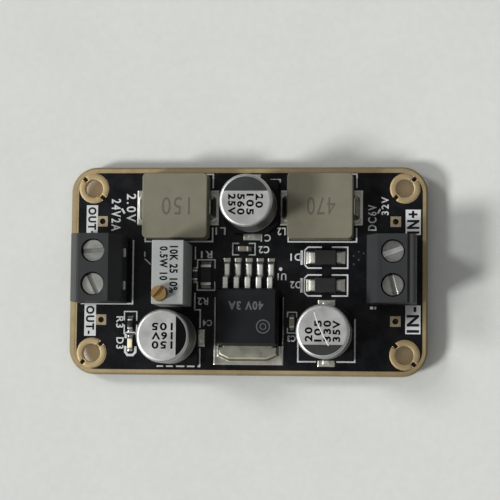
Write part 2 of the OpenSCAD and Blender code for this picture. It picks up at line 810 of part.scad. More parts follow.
// Clamp screw: slotted head in the well, shank down to the contact's tongue
module clamp_screw(side, row, turn) {
    color(steel_colour)
        at_pole(side, row)
            difference() {
                union() {
                    translate([0, 0, head_z])
                        cylinder(d = clamp_head_d, h = clamp_head_t);
                    translate([0, 0, tongue_top])
                        cylinder(d = clamp_screw_d, h = head_z - tongue_top);
                }
                rotate([0, 0, turn])
                    translate([0, 0, head_z + clamp_head_t - clamp_slot_depth])
                        block(clamp_head_d + 2 * eps, clamp_slot_w, clamp_slot_depth + eps);
            }
}
module output_positive_screw() clamp_screw(-1, 1, output_positive_turn);
module output_negative_screw() clamp_screw(-1, -1, output_negative_turn);
module input_positive_screw() clamp_screw(1, 1, input_positive_turn);
module input_negative_screw() clamp_screw(1, -1, input_negative_turn);

// Clamp cage: a square ring round the wire, its top threaded on the screw
module clamp_cage(side, row) {
    color(tin_colour)
        at_pole(side, row)
            difference() {
                translate([0, 0, cage_z])
                    block(cage_d, cage_w, cage_top - cage_z);
                translate([0, 0, cage_floor_z])
                    block(cage_d + 2 * eps, entry_w, cage_roof_z - cage_floor_z);
                translate([0, 0, cage_roof_z - eps])
                    cylinder(d = clamp_screw_d + 2 * thread_clear, h = cage_top_t + 2 * eps);
            }
}
module output_positive_cage() clamp_cage(-1, 1);
module output_negative_cage() clamp_cage(-1, -1);
module input_positive_cage() clamp_cage(1, 1);
module input_negative_cage() clamp_cage(1, -1);

module inductor_body(x) {
    color(iron_colour)
        translate([x, inductor_y, seat_z + strip_t])
            bevelled_plate(inductor_l, inductor_w, inductor_r, inductor_h, inductor_bevel);
}
module output_inductor_body() inductor_body(output_inductor_x);
module input_inductor_body() inductor_body(input_inductor_x);

// Strips folded down the sides and under the body
module inductor_terminals(x) {
    color(tin_colour)
        for (turn = [0, 180])
            translate([x, inductor_y, seat_z])
                rotate([0, 0, turn])
                    translate([inductor_l / 2, 0, 0])
                        along_y(inductor_tail_w)
                            polygon([
                                [-inductor_fold, 0], [strip_t, 0], [strip_t, inductor_tail_h],
                                [0, inductor_tail_h], [0, strip_t], [-inductor_fold, strip_t]
                            ]);
}
module output_inductor_terminals() inductor_terminals(output_inductor_x);
module input_inductor_terminals() inductor_terminals(input_inductor_x);

// Drawn can: rolled groove low on the wall, rounded top edge
module can(x, y) {
    r = can_d / 2;
    wall_h = can_h - base_t - strip_t;
    color(aluminium_colour)
        translate([x, y, seat_z + strip_t + base_t])
            rotate_extrude()
                union() {
                    polygon([
                        [0, 0], [r - can_groove, 0], [r, can_groove], [r, can_groove_z],
                        [r - can_groove, can_groove_z + can_groove], [r, can_groove_z + 2 * can_groove],
                        [r, wall_h - can_top_r], [0, wall_h - can_top_r]
                    ]);
                    square([r - can_top_r, wall_h]);
                    translate([r - can_top_r, wall_h - can_top_r])
                        circle(r = can_top_r);
                }
}

// Square base with its two positive corners cut off, on the +X side before it is turned
module can_base(x, y, turn) {
    h = base_w / 2;
    color(plastic_colour)
        translate([x, y, seat_z + strip_t])
            rotate([0, 0, turn])
                linear_extrude(base_t)
                    polygon([
                        [-h, -h], [h - base_cut, -h], [h, base_cut - h],
                        [h, h - base_cut], [h - base_cut, h], [-h, h]
                    ]);
}

module can_terminals(x, y, turn) {
    inner = can_tail_gap / 2;
    tail_l = base_w / 2 + can_land_out / 2 - inner;
    color(tin_colour)
        for (side = [0, 180])
            translate([x, y, seat_z])
                rotate([0, 0, turn + side])
                    translate([inner, -can_tail_w / 2, 0])
                        cube([tail_l, can_tail_w, strip_t]);
}
module output_capacitor_can() can(output_capacitor_x, output_capacitor_y);
module output_capacitor_base() can_base(output_capacitor_x, output_capacitor_y, 180);
module output_capacitor_terminals() can_terminals(output_capacitor_x, output_capacitor_y, 180);
module input_capacitor_can() can(input_capacitor_x, input_capacitor_y);
module input_capacitor_base() can_base(input_capacitor_x, input_capacitor_y, 90);
module input_capacitor_terminals() can_terminals(input_capacitor_x, input_capacitor_y, 90);
module middle_capacitor_can() can(middle_x, middle_y);
module middle_capacitor_base() can_base(middle_x, middle_y, -90);
module middle_capacitor_terminals() can_terminals(middle_x, middle_y, -90);

// The regulator's own frame: origin where the leads leave the body, +Y to the toes
module at_regulator() {
    translate([regulator_x, regulator_y, seat_z])
        children();
}

// Copper plate: broad past the body, narrower inside it
module tab_plate() {
    outer = regulator_w / 2 - regulator_draft;
    end = -regulator_l - tab_out;
    linear_extrude(tab_t) {
        translate([-tab_inner_w / 2, -regulator_l])
            square([tab_inner_w, tab_inner_l]);
        polygon([
            [-outer, -regulator_l], [-outer, end + tab_cut], [-outer + tab_cut_w, end],
            [outer - tab_cut_w, end], [outer, end + tab_cut], [outer, -regulator_l]
        ]);
    }
}

module regulator_body() {
    color(mould_colour)
        at_regulator()
            difference() {
                translate([0, -regulator_l / 2, 0])
                    drafted_body(regulator_w, regulator_l, regulator_h, parting_z, regulator_draft);
                tab_plate();
                lead_row();
            }
}

module regulator_tab() {
    color(tin_colour)
        at_regulator()
            tab_plate();
}

// Gull-wing leads: root in the body, level shoulder, steep leg, flat foot
module lead_row() {
    z = parting_z;
    leg = lead_reach - lead_foot;
    lean = (leg - lead_shoulder) / z;
    slant = lead_t * (norm([1, lean]) - lean);
    for (i = [0 : lead_count - 1])
        translate([lead_x(i) - regulator_x, 0, 0])
            along_x(lead_w)
                polygon([
                    [-lead_root, z], [lead_shoulder - slant, z], [leg - slant, 0], [lead_reach, 0],
                    [lead_reach, lead_t], [leg, lead_t], [lead_shoulder, z + lead_t],
                    [-lead_root, z + lead_t]
                ]);
}

module regulator_leads() {
    color(tin_colour)
        at_regulator()
            lead_row();
}

module diode_body(y) {
    color(mould_colour)
        translate([diode_x, y, seat_z])
            difference() {
                drafted_body(diode_l, diode_w, diode_h, strip_t, diode_draft);
                for (i = [-1, 1])
                    translate([i * diode_l / 2, 0, -eps])
                        block(2 * diode_lead_in, diode_lead_w, strip_t + eps);
            }
}
module diode_leads(y) {
    color(tin_colour)
        for (i = [-1, 1])
            translate([diode_x + i * (diode_l + diode_lead_out - diode_lead_in) / 2, y, seat_z])
                block(diode_lead_out + diode_lead_in, diode_lead_w, strip_t);
}
module upper_diode_body() diode_body(upper_diode_y);
module upper_diode_leads() diode_leads(upper_diode_y);
module lower_diode_body() diode_body(lower_diode_y);
module lower_diode_leads() diode_leads(lower_diode_y);

module at_trimmer_screw() {
    translate([
        trimmer_x - trimmer_w / 2 + trimmer_side_wall + trimmer_bore_r,
        trimmer_y - trimmer_l / 2 + trimmer_end_wall + trimmer_bore_r, 0
    ])
        children();
}

module trimmer_housing() {
    color(trimmer_colour)
        difference() {
            translate([trimmer_x, trimmer_y, board_t]) {
                translate([0, 0, standoff_h])
                    chamfered_block(trimmer_w, trimmer_l, trimmer_h - standoff_h, trimmer_chamfer);
                for (i = [-1, 1], j = [-1, 1])
                    translate([
                        i * ((trimmer_w - standoff_w) / 2 - trimmer_chamfer),
                        j * ((trimmer_l - standoff_w) / 2 - trimmer_chamfer), 0
                    ])
                        block(standoff_w, standoff_w, standoff_h);
            }
            at_trimmer_screw()
                translate([0, 0, board_t + trimmer_h - trimmer_screw_depth])
                    cylinder(r = trimmer_bore_r, h = trimmer_screw_depth + eps);
        }
}

module trimmer_screw() {
    top = board_t + trimmer_h + trimmer_screw_h;
    length = trimmer_screw_h + trimmer_screw_depth;
    color(brass_colour)
        at_trimmer_screw()
            difference() {
                translate([0, 0, top - length])
                    cylinder(d = trimmer_screw_d, h = length);
                rotate([0, 0, trimmer_turn])
                    translate([0, 0, top - trimmer_slot_depth])
                        block(trimmer_screw_d + 2 * eps, trimmer_slot_w, trimmer_slot_depth + eps);
            }
}

module trimmer_pins() {
    color(tin_colour)
        at_trimmer_pins()
            translate([0, 0, -pin_tail])
                cylinder(d = trimmer_pin_d, h = pin_tail + board_t + standoff_h);
}

// Chip parts lie along x before they are turned
module chip_body(x, y, l, w, h, end, turn, colour) {
    color(colour)
        translate([x, y, seat_z])
            rotate([0, 0, turn])
                block(l - 2 * end, w, h);
}
module chip_ends(x, y, l, w, h, end, turn) {
    color(tin_colour)
        for (i = [-1, 1])
            translate([x, y, seat_z])
                rotate([0, 0, turn])
                    translate([i * (l - end) / 2, 0, 0])
                        block(end, w, h);
}
module large_resistor_body()
    chip_body(large_resistor_x, resistor_y, large_resistor_l, large_resistor_w,
        large_resistor_h, large_resistor_end, 90, film_colour);
module large_resistor_ends()
    chip_ends(large_resistor_x, resistor_y, large_resistor_l, large_resistor_w,
        large_resistor_h, large_resistor_end, 90);
module feedback_resistor_body()
    chip_body(feedback_x, resistor_y, chip_l, chip_w, chip_resistor_h, chip_end, 90, film_colour);
module feedback_resistor_ends()
    chip_ends(feedback_x, resistor_y, chip_l, chip_w, chip_resistor_h, chip_end, 90);
module lamp_resistor_body()
    chip_body(lamp_x, lamp_resistor_y, chip_l, chip_w, chip_resistor_h, chip_end, 90, film_colour);
module lamp_resistor_ends()
    chip_ends(lamp_x, lamp_resistor_y, chip_l, chip_w, chip_resistor_h, chip_end, 90);
module upper_chip_capacitor_body()
    chip_body(upper_chip_x, upper_chip_y, chip_l, chip_w, chip_capacitor_h, chip_end, 0, ceramic_colour);
module upper_chip_capacitor_ends()
    chip_ends(upper_chip_x, upper_chip_y, chip_l, chip_w, chip_capacitor_h, chip_end, 0);
module input_chip_capacitor_body()
    chip_body(input_chip_x, input_chip_y, chip_l, chip_w, chip_capacitor_h, chip_end, 90, ceramic_colour);
module input_chip_capacitor_ends()
    chip_ends(input_chip_x, input_chip_y, chip_l, chip_w, chip_capacitor_h, chip_end, 90);

module lamp_base()
    chip_body(lamp_x, lamp_y, chip_l, chip_w, lamp_base_h, chip_end, 90, lamp_base_colour);
module lamp_ends()
    chip_ends(lamp_x, lamp_y, chip_l, chip_w, lamp_base_h, chip_end, 90);
module lamp_lens() {
    color(lens_colour)
        translate([lamp_x, lamp_y, seat_z + lamp_base_h])
            rotate([0, 0, 90])
                drafted_body(chip_l - chip_end, chip_w, lamp_lens_h, lamp_lens_draft, lamp_lens_draft);
}

// Cone of solder under the board round a through pin. The children are the pin's section
module solder_cone(hole_d) {
    translate([0, 0, -cone_h])
        difference() {
            cylinder(d1 = hole_d, d2 = hole_d + 2 * cone_land, h = cone_h);
            translate([0, 0, -eps])
                linear_extrude(cone_h + 2 * eps)
                    children();
        }
}

module pin_solder() {
    color(tin_colour) {
        at_contact_pins()
            solder_cone(contact_hole_d)
                square([contact_t, contact_pin_w], center = true);
        at_trimmer_pins()
            solder_cone(trimmer_hole_d)
                circle(d = trimmer_pin_d);
    }
}

circuit_board();
edge_rim();
mounting_pads();
wire_pads();
component_lands();
output_terminal_housing();
input_terminal_housing();
output_contacts();
input_contacts();
output_positive_screw();
output_negative_screw();
input_positive_screw();
input_negative_screw();
output_positive_cage();
output_negative_cage();
input_positive_cage();
input_negative_cage();
output_inductor_body();
output_inductor_terminals();
input_inductor_body();
input_inductor_terminals();
output_capacitor_can();
output_capacitor_base();
output_capacitor_terminals();
input_capacitor_can();
input_capacitor_base();
input_capacitor_terminals();
middle_capacitor_can();
middle_capacitor_base();
middle_capacitor_terminals();
regulator_body();
regulator_tab();
regulator_leads();
upper_diode_body();
upper_diode_leads();
lower_diode_body();
lower_diode_leads();
trimmer_housing();
trimmer_screw();
trimmer_pins();
large_resistor_body();
large_resistor_ends();
feedback_resistor_body();
feedback_resistor_ends();
lamp_resistor_body();
lamp_resistor_ends();
lamp_base();
lamp_lens();
lamp_ends();
upper_chip_capacitor_body();
upper_chip_capacitor_ends();
input_chip_capacitor_body();
input_chip_capacitor_ends();
pin_solder();
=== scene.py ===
# %% [markdown]
# # A small step-down voltage converter board
#
# The board lies flat on pale paper, seen almost from straight above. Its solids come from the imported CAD
# model, which is loaded as a fixed frame, and this lesson dresses them: soft edges where the CAD has sharp
# ones, solder where the pins meet the copper, printed ink on the board, and a finish for each material.

# %% Load the frame
import math
import bmesh
import bpy
from mathutils import Matrix, Vector, geometry


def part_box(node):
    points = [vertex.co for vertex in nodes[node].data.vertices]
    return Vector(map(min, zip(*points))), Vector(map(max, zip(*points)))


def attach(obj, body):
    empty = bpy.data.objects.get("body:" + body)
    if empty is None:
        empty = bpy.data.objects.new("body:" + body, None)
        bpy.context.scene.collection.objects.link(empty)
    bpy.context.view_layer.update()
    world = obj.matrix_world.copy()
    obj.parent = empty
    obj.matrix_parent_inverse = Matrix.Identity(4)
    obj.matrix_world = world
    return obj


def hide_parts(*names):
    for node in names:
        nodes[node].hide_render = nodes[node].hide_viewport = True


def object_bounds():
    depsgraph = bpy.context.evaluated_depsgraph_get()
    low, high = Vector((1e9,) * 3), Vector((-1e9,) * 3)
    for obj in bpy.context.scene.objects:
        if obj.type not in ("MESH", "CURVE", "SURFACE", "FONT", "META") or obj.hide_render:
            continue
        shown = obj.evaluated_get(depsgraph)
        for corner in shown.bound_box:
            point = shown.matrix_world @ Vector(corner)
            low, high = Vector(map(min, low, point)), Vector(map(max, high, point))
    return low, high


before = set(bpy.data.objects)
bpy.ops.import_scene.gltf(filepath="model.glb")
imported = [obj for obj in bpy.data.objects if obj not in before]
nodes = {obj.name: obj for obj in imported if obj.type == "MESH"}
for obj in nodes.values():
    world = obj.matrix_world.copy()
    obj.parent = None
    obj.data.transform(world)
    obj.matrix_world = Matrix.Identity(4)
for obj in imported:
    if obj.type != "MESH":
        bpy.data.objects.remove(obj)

cad_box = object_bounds()
MM = 0.001                 # the frame is in metres, and this board is easier to think about in millimetres
scene = bpy.context.scene
print(len(nodes), "CAD nodes, box", [round(c / MM, 2) for corner in cad_box for c in corner])


# %% [markdown]
# Finishes, solder and printing have to lie on the solids. Their places could all be typed in, but then a
# part that grows leaves its solder behind. So most of them are measured: small helpers give the box of a
# node, its middle, and the box of each separate solid in a node that holds several alike.

# %% Boxes in millimetres
SAME_POINT = 1e-4          # corners nearer than this are one corner


def span(node):
    """The lowest and highest corner of a node at rest, in millimetres."""
    low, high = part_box(node)
    return Vector(low) / MM, Vector(high) / MM


def middle(node):
    low, high = span(node)
    return (low + high) / 2


def solids(node):
    """The lowest and highest corner of each separate solid in a node, in millimetres."""
    mesh = bmesh.new()
    mesh.from_mesh(nodes[node].data)
    bmesh.ops.remove_doubles(mesh, verts=mesh.verts, dist=SAME_POINT * MM)
    waiting = set(mesh.verts)
    found = []
    while waiting:
        shell = [waiting.pop()]
        for vert in shell:
            near = {edge.other_vert(vert) for edge in vert.link_edges} & waiting
            waiting -= near
            shell.extend(near)
        points = [v.co / MM for v in shell]
        found.append((Vector(map(min, *points)), Vector(map(max, *points))))
    mesh.free()
    return sorted(found, key=lambda corners: tuple(corners[0]))


BOARD_TOP = span("circuit_board")[1].z
lands = solids("component_lands")
print("board top at", round(BOARD_TOP, 3), "mm,", len(lands), "lands")


# %% [markdown]
# The photograph was taken by hand from nearly overhead, a little to the lower right. A camera straight
# above with a lens shift could frame it too, but tall parts would lean the wrong way. So the lens, the
# place and the turn were worked out from the corners of the board and the tops of the tall parts, and there
# is no shift.

# %% Camera
LENS, SENSOR = 130.77, 36.0                     # millimetres
CAMERA_AT = Vector((27.58, -18.54, 277.81))     # millimetres
CAMERA_TURN = (4.505, 5.615, 0.166)             # degrees about X, Y and Z
NEAREST = 10                                    # millimetres: nothing closer to the lens is drawn
camera_data = bpy.data.cameras.new("camera")
camera_data.lens = LENS
camera_data.sensor_width = SENSOR
camera_data.clip_start = NEAREST * MM
camera = bpy.data.objects.new("camera", camera_data)
camera.location = CAMERA_AT * MM
camera.rotation_mode = "ZYX"
camera.rotation_euler = [math.radians(angle) for angle in CAMERA_TURN]
scene.collection.objects.link(camera)
scene.camera = camera
print("camera at", [round(c, 4) for c in camera.location])


# %% [markdown]
# The shadows on the paper tell where the light came from: one falls to the upper right and a fainter one to
# the lower right, so two windows stand to the left. Area lamps could stand there, but over so small a board
# a sun lamp with a wide disc gives the same soft shadow and needs no distance. Each is given as its share
# of the light on the paper. The room has the rest, so a flat sheet renders in the colour that is written
# for it.

# %% Windows
# Name, share of the light, then height, bearing and width in degrees
LIGHTS = [("window", 0.48, 38.4, 204.3, 13), ("second_window", 0.22, 38.6, 156.5, 13)]
for name, share, height, bearing, width in LIGHTS:
    up, around = math.radians(height), math.radians(bearing)
    towards = Vector((math.cos(around) * math.cos(up), math.sin(around) * math.cos(up), math.sin(up)))
    light_data = bpy.data.lights.new(name, "SUN")
    light_data.angle = math.radians(width)
    light_data.energy = share * math.pi / math.sin(up)
    light = bpy.data.objects.new(name, light_data)
    light.rotation_euler = towards.to_track_quat("Z", "Y").to_euler()
    scene.collection.objects.link(light)
print([f"{row[0]} {row[1]:.0%}" for row in LIGHTS])


# %% [markdown]
# The room is bright overhead and gets dark towards its floor, and the part of the ceiling that flat metal
# mirrors lies in shade, so the tops of the cans look grey. One even grey for the whole world would be
# simpler, but then metal looks like plastic. So the world's strength is worked out from the direction: how
# far it points up, and how near it comes to the shade.

# %% Room
def add(tree, kind, operation=None):
    """A new shader node of a kind, with its operation where it has one."""
    node = tree.nodes.new("ShaderNode" + kind)
    if operation:
        node.operation = operation
    return node


ROOM_SHARE = 1 - sum(row[1] for row in LIGHTS)
EVENNESS = 0.415                   # the share of an even room's light that this one gives the paper
CEILING = ROOM_SHARE / EVENNESS
SHADED = (0.03, 0.06, 1.0)         # the direction in which the ceiling is shaded
SHADE_EDGE, SHADE_CORE = 24, 10    # degrees from there to the edge of the shade, and to its darkest part
SHADE_LEFT = 0.08                  # the share of the light that is left in the darkest part
LOW_DARK = 2.0                     # the power by which the room gets dark towards its floor
ROOM_TINT = (1.0, 1.0, 0.985, 1.0)
room = bpy.data.worlds.new("room")
room.use_nodes = True
sky = room.node_tree
direction = add(sky, "TexCoord").outputs["Generated"]
nearness = add(sky, "VectorMath", "DOT_PRODUCT")
nearness.inputs[1].default_value = Vector(SHADED).normalized()
shade = add(sky, "MapRange")
shade.inputs["From Min"].default_value = math.cos(math.radians(SHADE_EDGE))
shade.inputs["From Max"].default_value = math.cos(math.radians(SHADE_CORE))
shade.inputs["To Min"].default_value = CEILING
shade.inputs["To Max"].default_value = CEILING * SHADE_LEFT
upward = add(sky, "SeparateXYZ")
lift = add(sky, "Math", "POWER")
lift.inputs[1].default_value = LOW_DARK
glow = add(sky, "Math", "MULTIPLY")
background = sky.nodes["Background"]
background.inputs["Color"].default_value = ROOM_TINT
for start, end in (
    (direction, nearness.inputs[0]), (direction, upward.inputs["Vector"]),
    (nearness.outputs["Value"], shade.inputs["Value"]), (upward.outputs["Z"], lift.inputs[0]),
    (lift.outputs["Value"], glow.inputs[0]), (shade.outputs["Result"], glow.inputs[1]),
    (glow.outputs["Value"], background.inputs["Strength"]),
):
    sky.links.new(start, end)
scene.world = room
scene.view_settings.view_transform = "Standard"
print(f"room {ROOM_SHARE:.0%}, ceiling {CEILING:.2f}")


# %% [markdown]
# No real surface is one flat colour. Moulded, plated and printed surfaces all have a fine grain. It could
# be drawn anew in each material, but as a node group it is built once and placed where it is needed. It
# measures in millimetres on the object itself, so a grain has the same size on every piece.

# %% Fine grain
def effect(name, inputs, outputs):
    """A new shader node group with number or vector inputs and value outputs, and its two end nodes."""
    group = bpy.data.node_groups.new(name, "ShaderNodeTree")
    for label, value in inputs.items():
        kind = "NodeSocketVector" if isinstance(value, tuple) else "NodeSocketFloat"
        group.interface.new_socket(label, in_out="INPUT", socket_type=kind).default_value = value
    for label in outputs:
        group.interface.new_socket(label, in_out="OUTPUT", socket_type="NodeSocketFloat")
    return group, group.nodes.new("NodeGroupInput"), group.nodes.new("NodeGroupOutput")


def millimetres(tree):
    """The object's own coordinates, in millimetres."""
    scaled = add(tree, "VectorMath", "SCALE")
    scaled.inputs["Scale"].default_value = 1 / MM
    tree.links.new(add(tree, "TexCoord").outputs["Object"], scaled.inputs[0])
    return scaled.outputs["Vector"]


def noise(tree, vector, per_mm, detail=3.0, rough=0.55):
    node = add(tree, "TexNoise")
    node.inputs["Detail"].default_value = detail
    node.inputs["Roughness"].default_value = rough
    tree.links.new(vector, node.inputs["Vector"])
    tree.links.new(per_mm, node.inputs["Scale"])
    return node.outputs["Fac"]


def spread(tree, value, low, high):
    """Stretches a noise value between two limits to the whole range from 0 to 1."""
    node = add(tree, "MapRange")
    node.inputs["From Min"].default_value = low
    node.inputs["From Max"].default_value = high
    tree.links.new(value, node.inputs["Value"])
    return node.outputs["Result"]


GRAIN_RANGE = (0.3, 0.7)           # most of the noise lies between these
grain_group, grain_in, grain_out = effect("fine_grain", {"Per mm": 6.0}, ["Grain"])
grain_noise = noise(grain_group, millimetres(grain_group), grain_in.outputs["Per mm"])
grain_group.links.new(spread(grain_group, grain_noise, *GRAIN_RANGE), grain_out.inputs["Grain"])
print("effect:", grain_group.name)


# %% [markdown]
# Fingers, flux and dust leave slow, soft patches on everything that was handled. They could be painted by
# hand on each piece, but they show mostly as a gloss that wanders, and a coarse noise with many octaves
# gives that.

# %% Handling smudges
SMUDGE_RANGE = (0.34, 0.66)
SMUDGE_DETAIL, SMUDGE_ROUGH = 5.0, 0.62
smudge_group, smudge_in, smudge_out = effect("handling_smudge", {"Per mm": 0.35}, ["Smudge"])
smudge_place = millimetres(smudge_group)
smudge_noise = noise(smudge_group, smudge_place, smudge_in.outputs["Per mm"], SMUDGE_DETAIL, SMUDGE_ROUGH)
smudge_group.links.new(spread(smudge_group, smudge_noise, *SMUDGE_RANGE), smudge_out.inputs["Smudge"])
print("effect:", smudge_group.name)


# %% [markdown]
# Rolled and cut metal has fine lines along one direction. Scratches could be modelled, but at this size
# they are finer than a pixel. So a noise is stretched along one axis, after the coordinates are turned to
# the direction in which the metal was worked.

# %% Brushed lines
BRUSH_STRETCH = (0.03, 1.0, 0.03)  # a line is some thirty times as long as it is wide
BRUSH_DETAIL = 2.0
brush_group, brush_in, brush_out = effect("brushed_lines", {"Per mm": 9.0, "Turn": 0.0}, ["Lines"])
brush_turn = add(brush_group, "VectorRotate")
brush_turn.rotation_type = "Z_AXIS"
brush_stretch = add(brush_group, "VectorMath", "MULTIPLY")
brush_stretch.inputs[1].default_value = BRUSH_STRETCH
brush_group.links.new(millimetres(brush_group), brush_turn.inputs["Vector"])
brush_group.links.new(brush_in.outputs["Turn"], brush_turn.inputs["Angle"])
brush_group.links.new(brush_turn.outputs["Vector"], brush_stretch.inputs[0])
brush_noise = noise(brush_group, brush_stretch.outputs["Vector"], brush_in.outputs["Per mm"], BRUSH_DETAIL)
brush_group.links.new(spread(brush_group, brush_noise, *GRAIN_RANGE), brush_out.inputs["Lines"])
print("effect:", brush_group.name)


# %% [markdown]
# A finish is two close tones that mix over the grain, a roughness that wanders with the smudges, and a
# slight relief. Each material could be wired by itself, but they differ only in their numbers, so one
# function wires them all. What is the same all over the surface, such as the metallic value or the coat, is
# set on the shader itself.

# %% Tones and masks
def tone(red, green, blue):
    """A colour as it looks on a screen, from 0 to 255, as the linear values that shaders use."""
    screen = [channel / 255 for channel in (red, green, blue)]
    linear = [c / 12.92 if c <= 0.04045 else ((c + 0.055) / 1.055) ** 2.4 for c in screen]
    return (*linear, 1.0)


def place_group(tree, group, **values):
    node = add(tree, "Group")
    node.node_tree = group
    for label, value in values.items():
        node.inputs[label.replace("_", " ")].default_value = value
    return node


def blend_tones(tree, mask, dark, light):
    mix = add(tree, "Mix")
    mix.data_type = "RGBA"
    tree.links.new(mask, mix.inputs["Factor"])
    for socket, colour in (("A", dark), ("B", light)):
        target = [s for s in mix.inputs if s.name == socket and s.type == "RGBA"][0]
        if isinstance(colour, tuple):
            target.default_value = colour
        else:
            tree.links.new(colour, target)
    return [s for s in mix.outputs if s.type == "RGBA"][0]


print("a middle grey on the screen is", round(tone(128, 128, 128)[0], 3), "in linear light")


# %% [markdown]
# The function takes the two tones, the range of the roughness, how fine the grain is and how deep its
# relief. A metal that was rolled or cut takes brushed lines in place of the grain. The first finish is the
# paper's: pale and matt, with the slow mottling of a thick sheet. The paper lies where the solder pins
# touch.

# %% A finish from its numbers, and the paper
SMUDGE_SHARE = 0.45        # how much of the mix of tones follows the smudges, and not the grain
finishes = {}


def finish(name, dark, light, roughness, per_mm=9.0, relief=0.004, brushed=None, smudge=0.35, **sockets):
    """A procedural material: two tones, a roughness range, grain or brushed lines, and a relief in mm."""
    material = bpy.data.materials.new(name)
    material.use_nodes = True
    tree = material.node_tree
    shader = tree.nodes["Principled BSDF"]
    for label, value in sockets.items():
        shader.inputs[label.replace("_", " ")].default_value = value
    if brushed is None:
        fine = place_group(tree, grain_group, Per_mm=per_mm).outputs["Grain"]
    else:
        fine = place_group(tree, brush_group, Per_mm=per_mm, Turn=math.radians(brushed)).outputs["Lines"]
    slow = place_group(tree, smudge_group, Per_mm=smudge).outputs["Smudge"]
    both = add(tree, "Mix")
    both.inputs["Factor"].default_value = SMUDGE_SHARE
    tree.links.new(fine, both.inputs["A"])
    tree.links.new(slow, both.inputs["B"])
    tree.links.new(blend_tones(tree, both.outputs["Result"], dark, light), shader.inputs["Base Color"])
    gloss = add(tree, "MapRange")
    gloss.inputs["To Min"].default_value, gloss.inputs["To Max"].default_value = roughness
    tree.links.new(slow, gloss.inputs["Value"])
    tree.links.new(gloss.outputs["Result"], shader.inputs["Roughness"])
    if relief:
        bump = add(tree, "Bump")
        bump.inputs["Strength"].default_value = 1.0
        bump.inputs["Distance"].default_value = relief * MM
        tree.links.new(fine, bump.inputs["Height"])
        tree.links.new(bump.outputs["Normal"], shader.inputs["Normal"])
    finishes[name] = material


PAPER_HALF = 1.5           # metres
finish("paper", tone(207, 209, 205), tone(214, 216, 212), (0.85, 0.95), per_mm=0.9, relief=0.0, smudge=0.06,
       Specular_IOR_Level=0.1)
floor_z = cad_box[0][2]
corners = [(x * PAPER_HALF, y * PAPER_HALF, floor_z) for x, y in ((-1, -1), (1, -1), (1, 1), (-1, 1))]
paper_mesh = bpy.data.meshes.new("paper")
paper_mesh.from_pydata(corners, [], [(0, 1, 2, 3)])
paper_mesh.materials.append(finishes["paper"])
paper = bpy.data.objects.new("paper", paper_mesh)
scene.collection.objects.link(paper)
print("paper at", round(floor_z / MM, 2), "mm")


# %% [markdown]
# The finishes of the bare board: laminate, lacquer, copper under gold or tin, and ink. Gold plating over
# copper is a little rough and tin is brighter. The gold in the holes is painted lighter, as painted light,
# since little light gets there. A metal has no colour under its surface, so one short function makes the
# finish fully metallic. Photographs of real surfaces could be used as textures, but two tones and a grain
# are enough at this size, and they fit any shape.

# %% Board finishes
def metallic(name, dark, light, roughness, **settings):
    finish(name, dark, light, roughness, Metallic=1.0, **settings)


finish("bare_laminate", tone(122, 109, 78), tone(142, 128, 96), (0.5, 0.65), per_mm=3.0)
finish("black_mask", tone(9, 10, 13), tone(14, 15, 18), (0.2, 0.34), per_mm=1.2, relief=0.002,
       Specular_IOR_Level=0.35)
metallic("rim_gold", tone(160, 142, 108), tone(180, 162, 126), (0.5, 0.62), per_mm=3.0, relief=0.002)
metallic("lit_hole_gold", tone(242, 208, 150), tone(251, 221, 168), (0.6, 0.7), per_mm=3.0, relief=0.002)
metallic("pad_gold", tone(164, 146, 110), tone(183, 165, 129), (0.55, 0.68), per_mm=3.0, relief=0.002)
metallic("pale_gold", tone(164, 150, 126), tone(181, 168, 144), (0.4, 0.52), per_mm=5.0, relief=0.003)
metallic("solder", tone(176, 175, 166), tone(201, 200, 190), (0.32, 0.44), per_mm=0.9, relief=0.012)
finish("white_ink", tone(188, 190, 190), tone(211, 213, 212), (0.55, 0.7))
finish("black_ink", tone(4, 4, 5), tone(8, 8, 9), (0.55, 0.7), relief=0.002, Specular_IOR_Level=0.06)
finish("grey_ink", tone(74, 74, 76), tone(90, 90, 90), (0.5, 0.65), relief=0.003)
finish("segment_ink", tone(38, 39, 40), tone(54, 55, 55), (0.5, 0.65), per_mm=5.0, relief=0.003,
       Specular_IOR_Level=0.25)
finish("covered_via", tone(50, 50, 52), tone(70, 70, 72), (0.4, 0.5), relief=0.003)
finish("engraving", tone(78, 75, 62), tone(92, 89, 75), (0.6, 0.75))
print(len(finishes), "finishes so far")


# %% [markdown]
# The finishes of what stands on the board. Leads are tinned copper with fine rolling lines, and the
# regulator's leads get a lighter copy of it as painted light. The plastics are matt with the fine grain of a
# spark-eroded mould, and pressed iron powder has a deeper one. One black for all the plastics would be
# simpler, but parts are told from each other by small differences of tone and gloss, so each has its own.

# %% Part finishes
metallic("tinned_copper", tone(206, 206, 200), tone(232, 231, 224), (0.36, 0.5), per_mm=8.0, relief=0.002,
         brushed=90.0)
metallic("lit_lead_tin", tone(236, 236, 230), tone(251, 250, 245), (0.36, 0.5), per_mm=8.0, relief=0.002,
         brushed=90.0)
metallic("tab_copper", tone(164, 163, 152), tone(188, 186, 173), (0.34, 0.46), per_mm=8.0, relief=0.002,
         brushed=0.0)
finish("housing_plastic", tone(45, 46, 47), tone(54, 55, 56), (0.5, 0.6), Specular_IOR_Level=0.15)
metallic("brass_screw", tone(164, 131, 86), tone(188, 156, 109), (0.32, 0.45), relief=0.006)
finish("trimmer_plastic", tone(148, 151, 150), tone(161, 164, 162), (0.5, 0.65), per_mm=7.0,
       Specular_IOR_Level=0.25)
finish("iron_powder", tone(106, 103, 86), tone(120, 116, 98), (0.5, 0.66), per_mm=10.0, relief=0.008)
metallic("can_aluminium", tone(188, 189, 188), tone(209, 209, 207), (0.4, 0.5), per_mm=7.0, relief=0.0015)
finish("scratched_aluminium", tone(226, 226, 222), tone(242, 242, 238), (0.55, 0.7), Metallic=0.3)
finish("base_plastic", tone(10, 10, 11), tone(15, 15, 16), (0.5, 0.65), per_mm=8.0, Specular_IOR_Level=0.15)
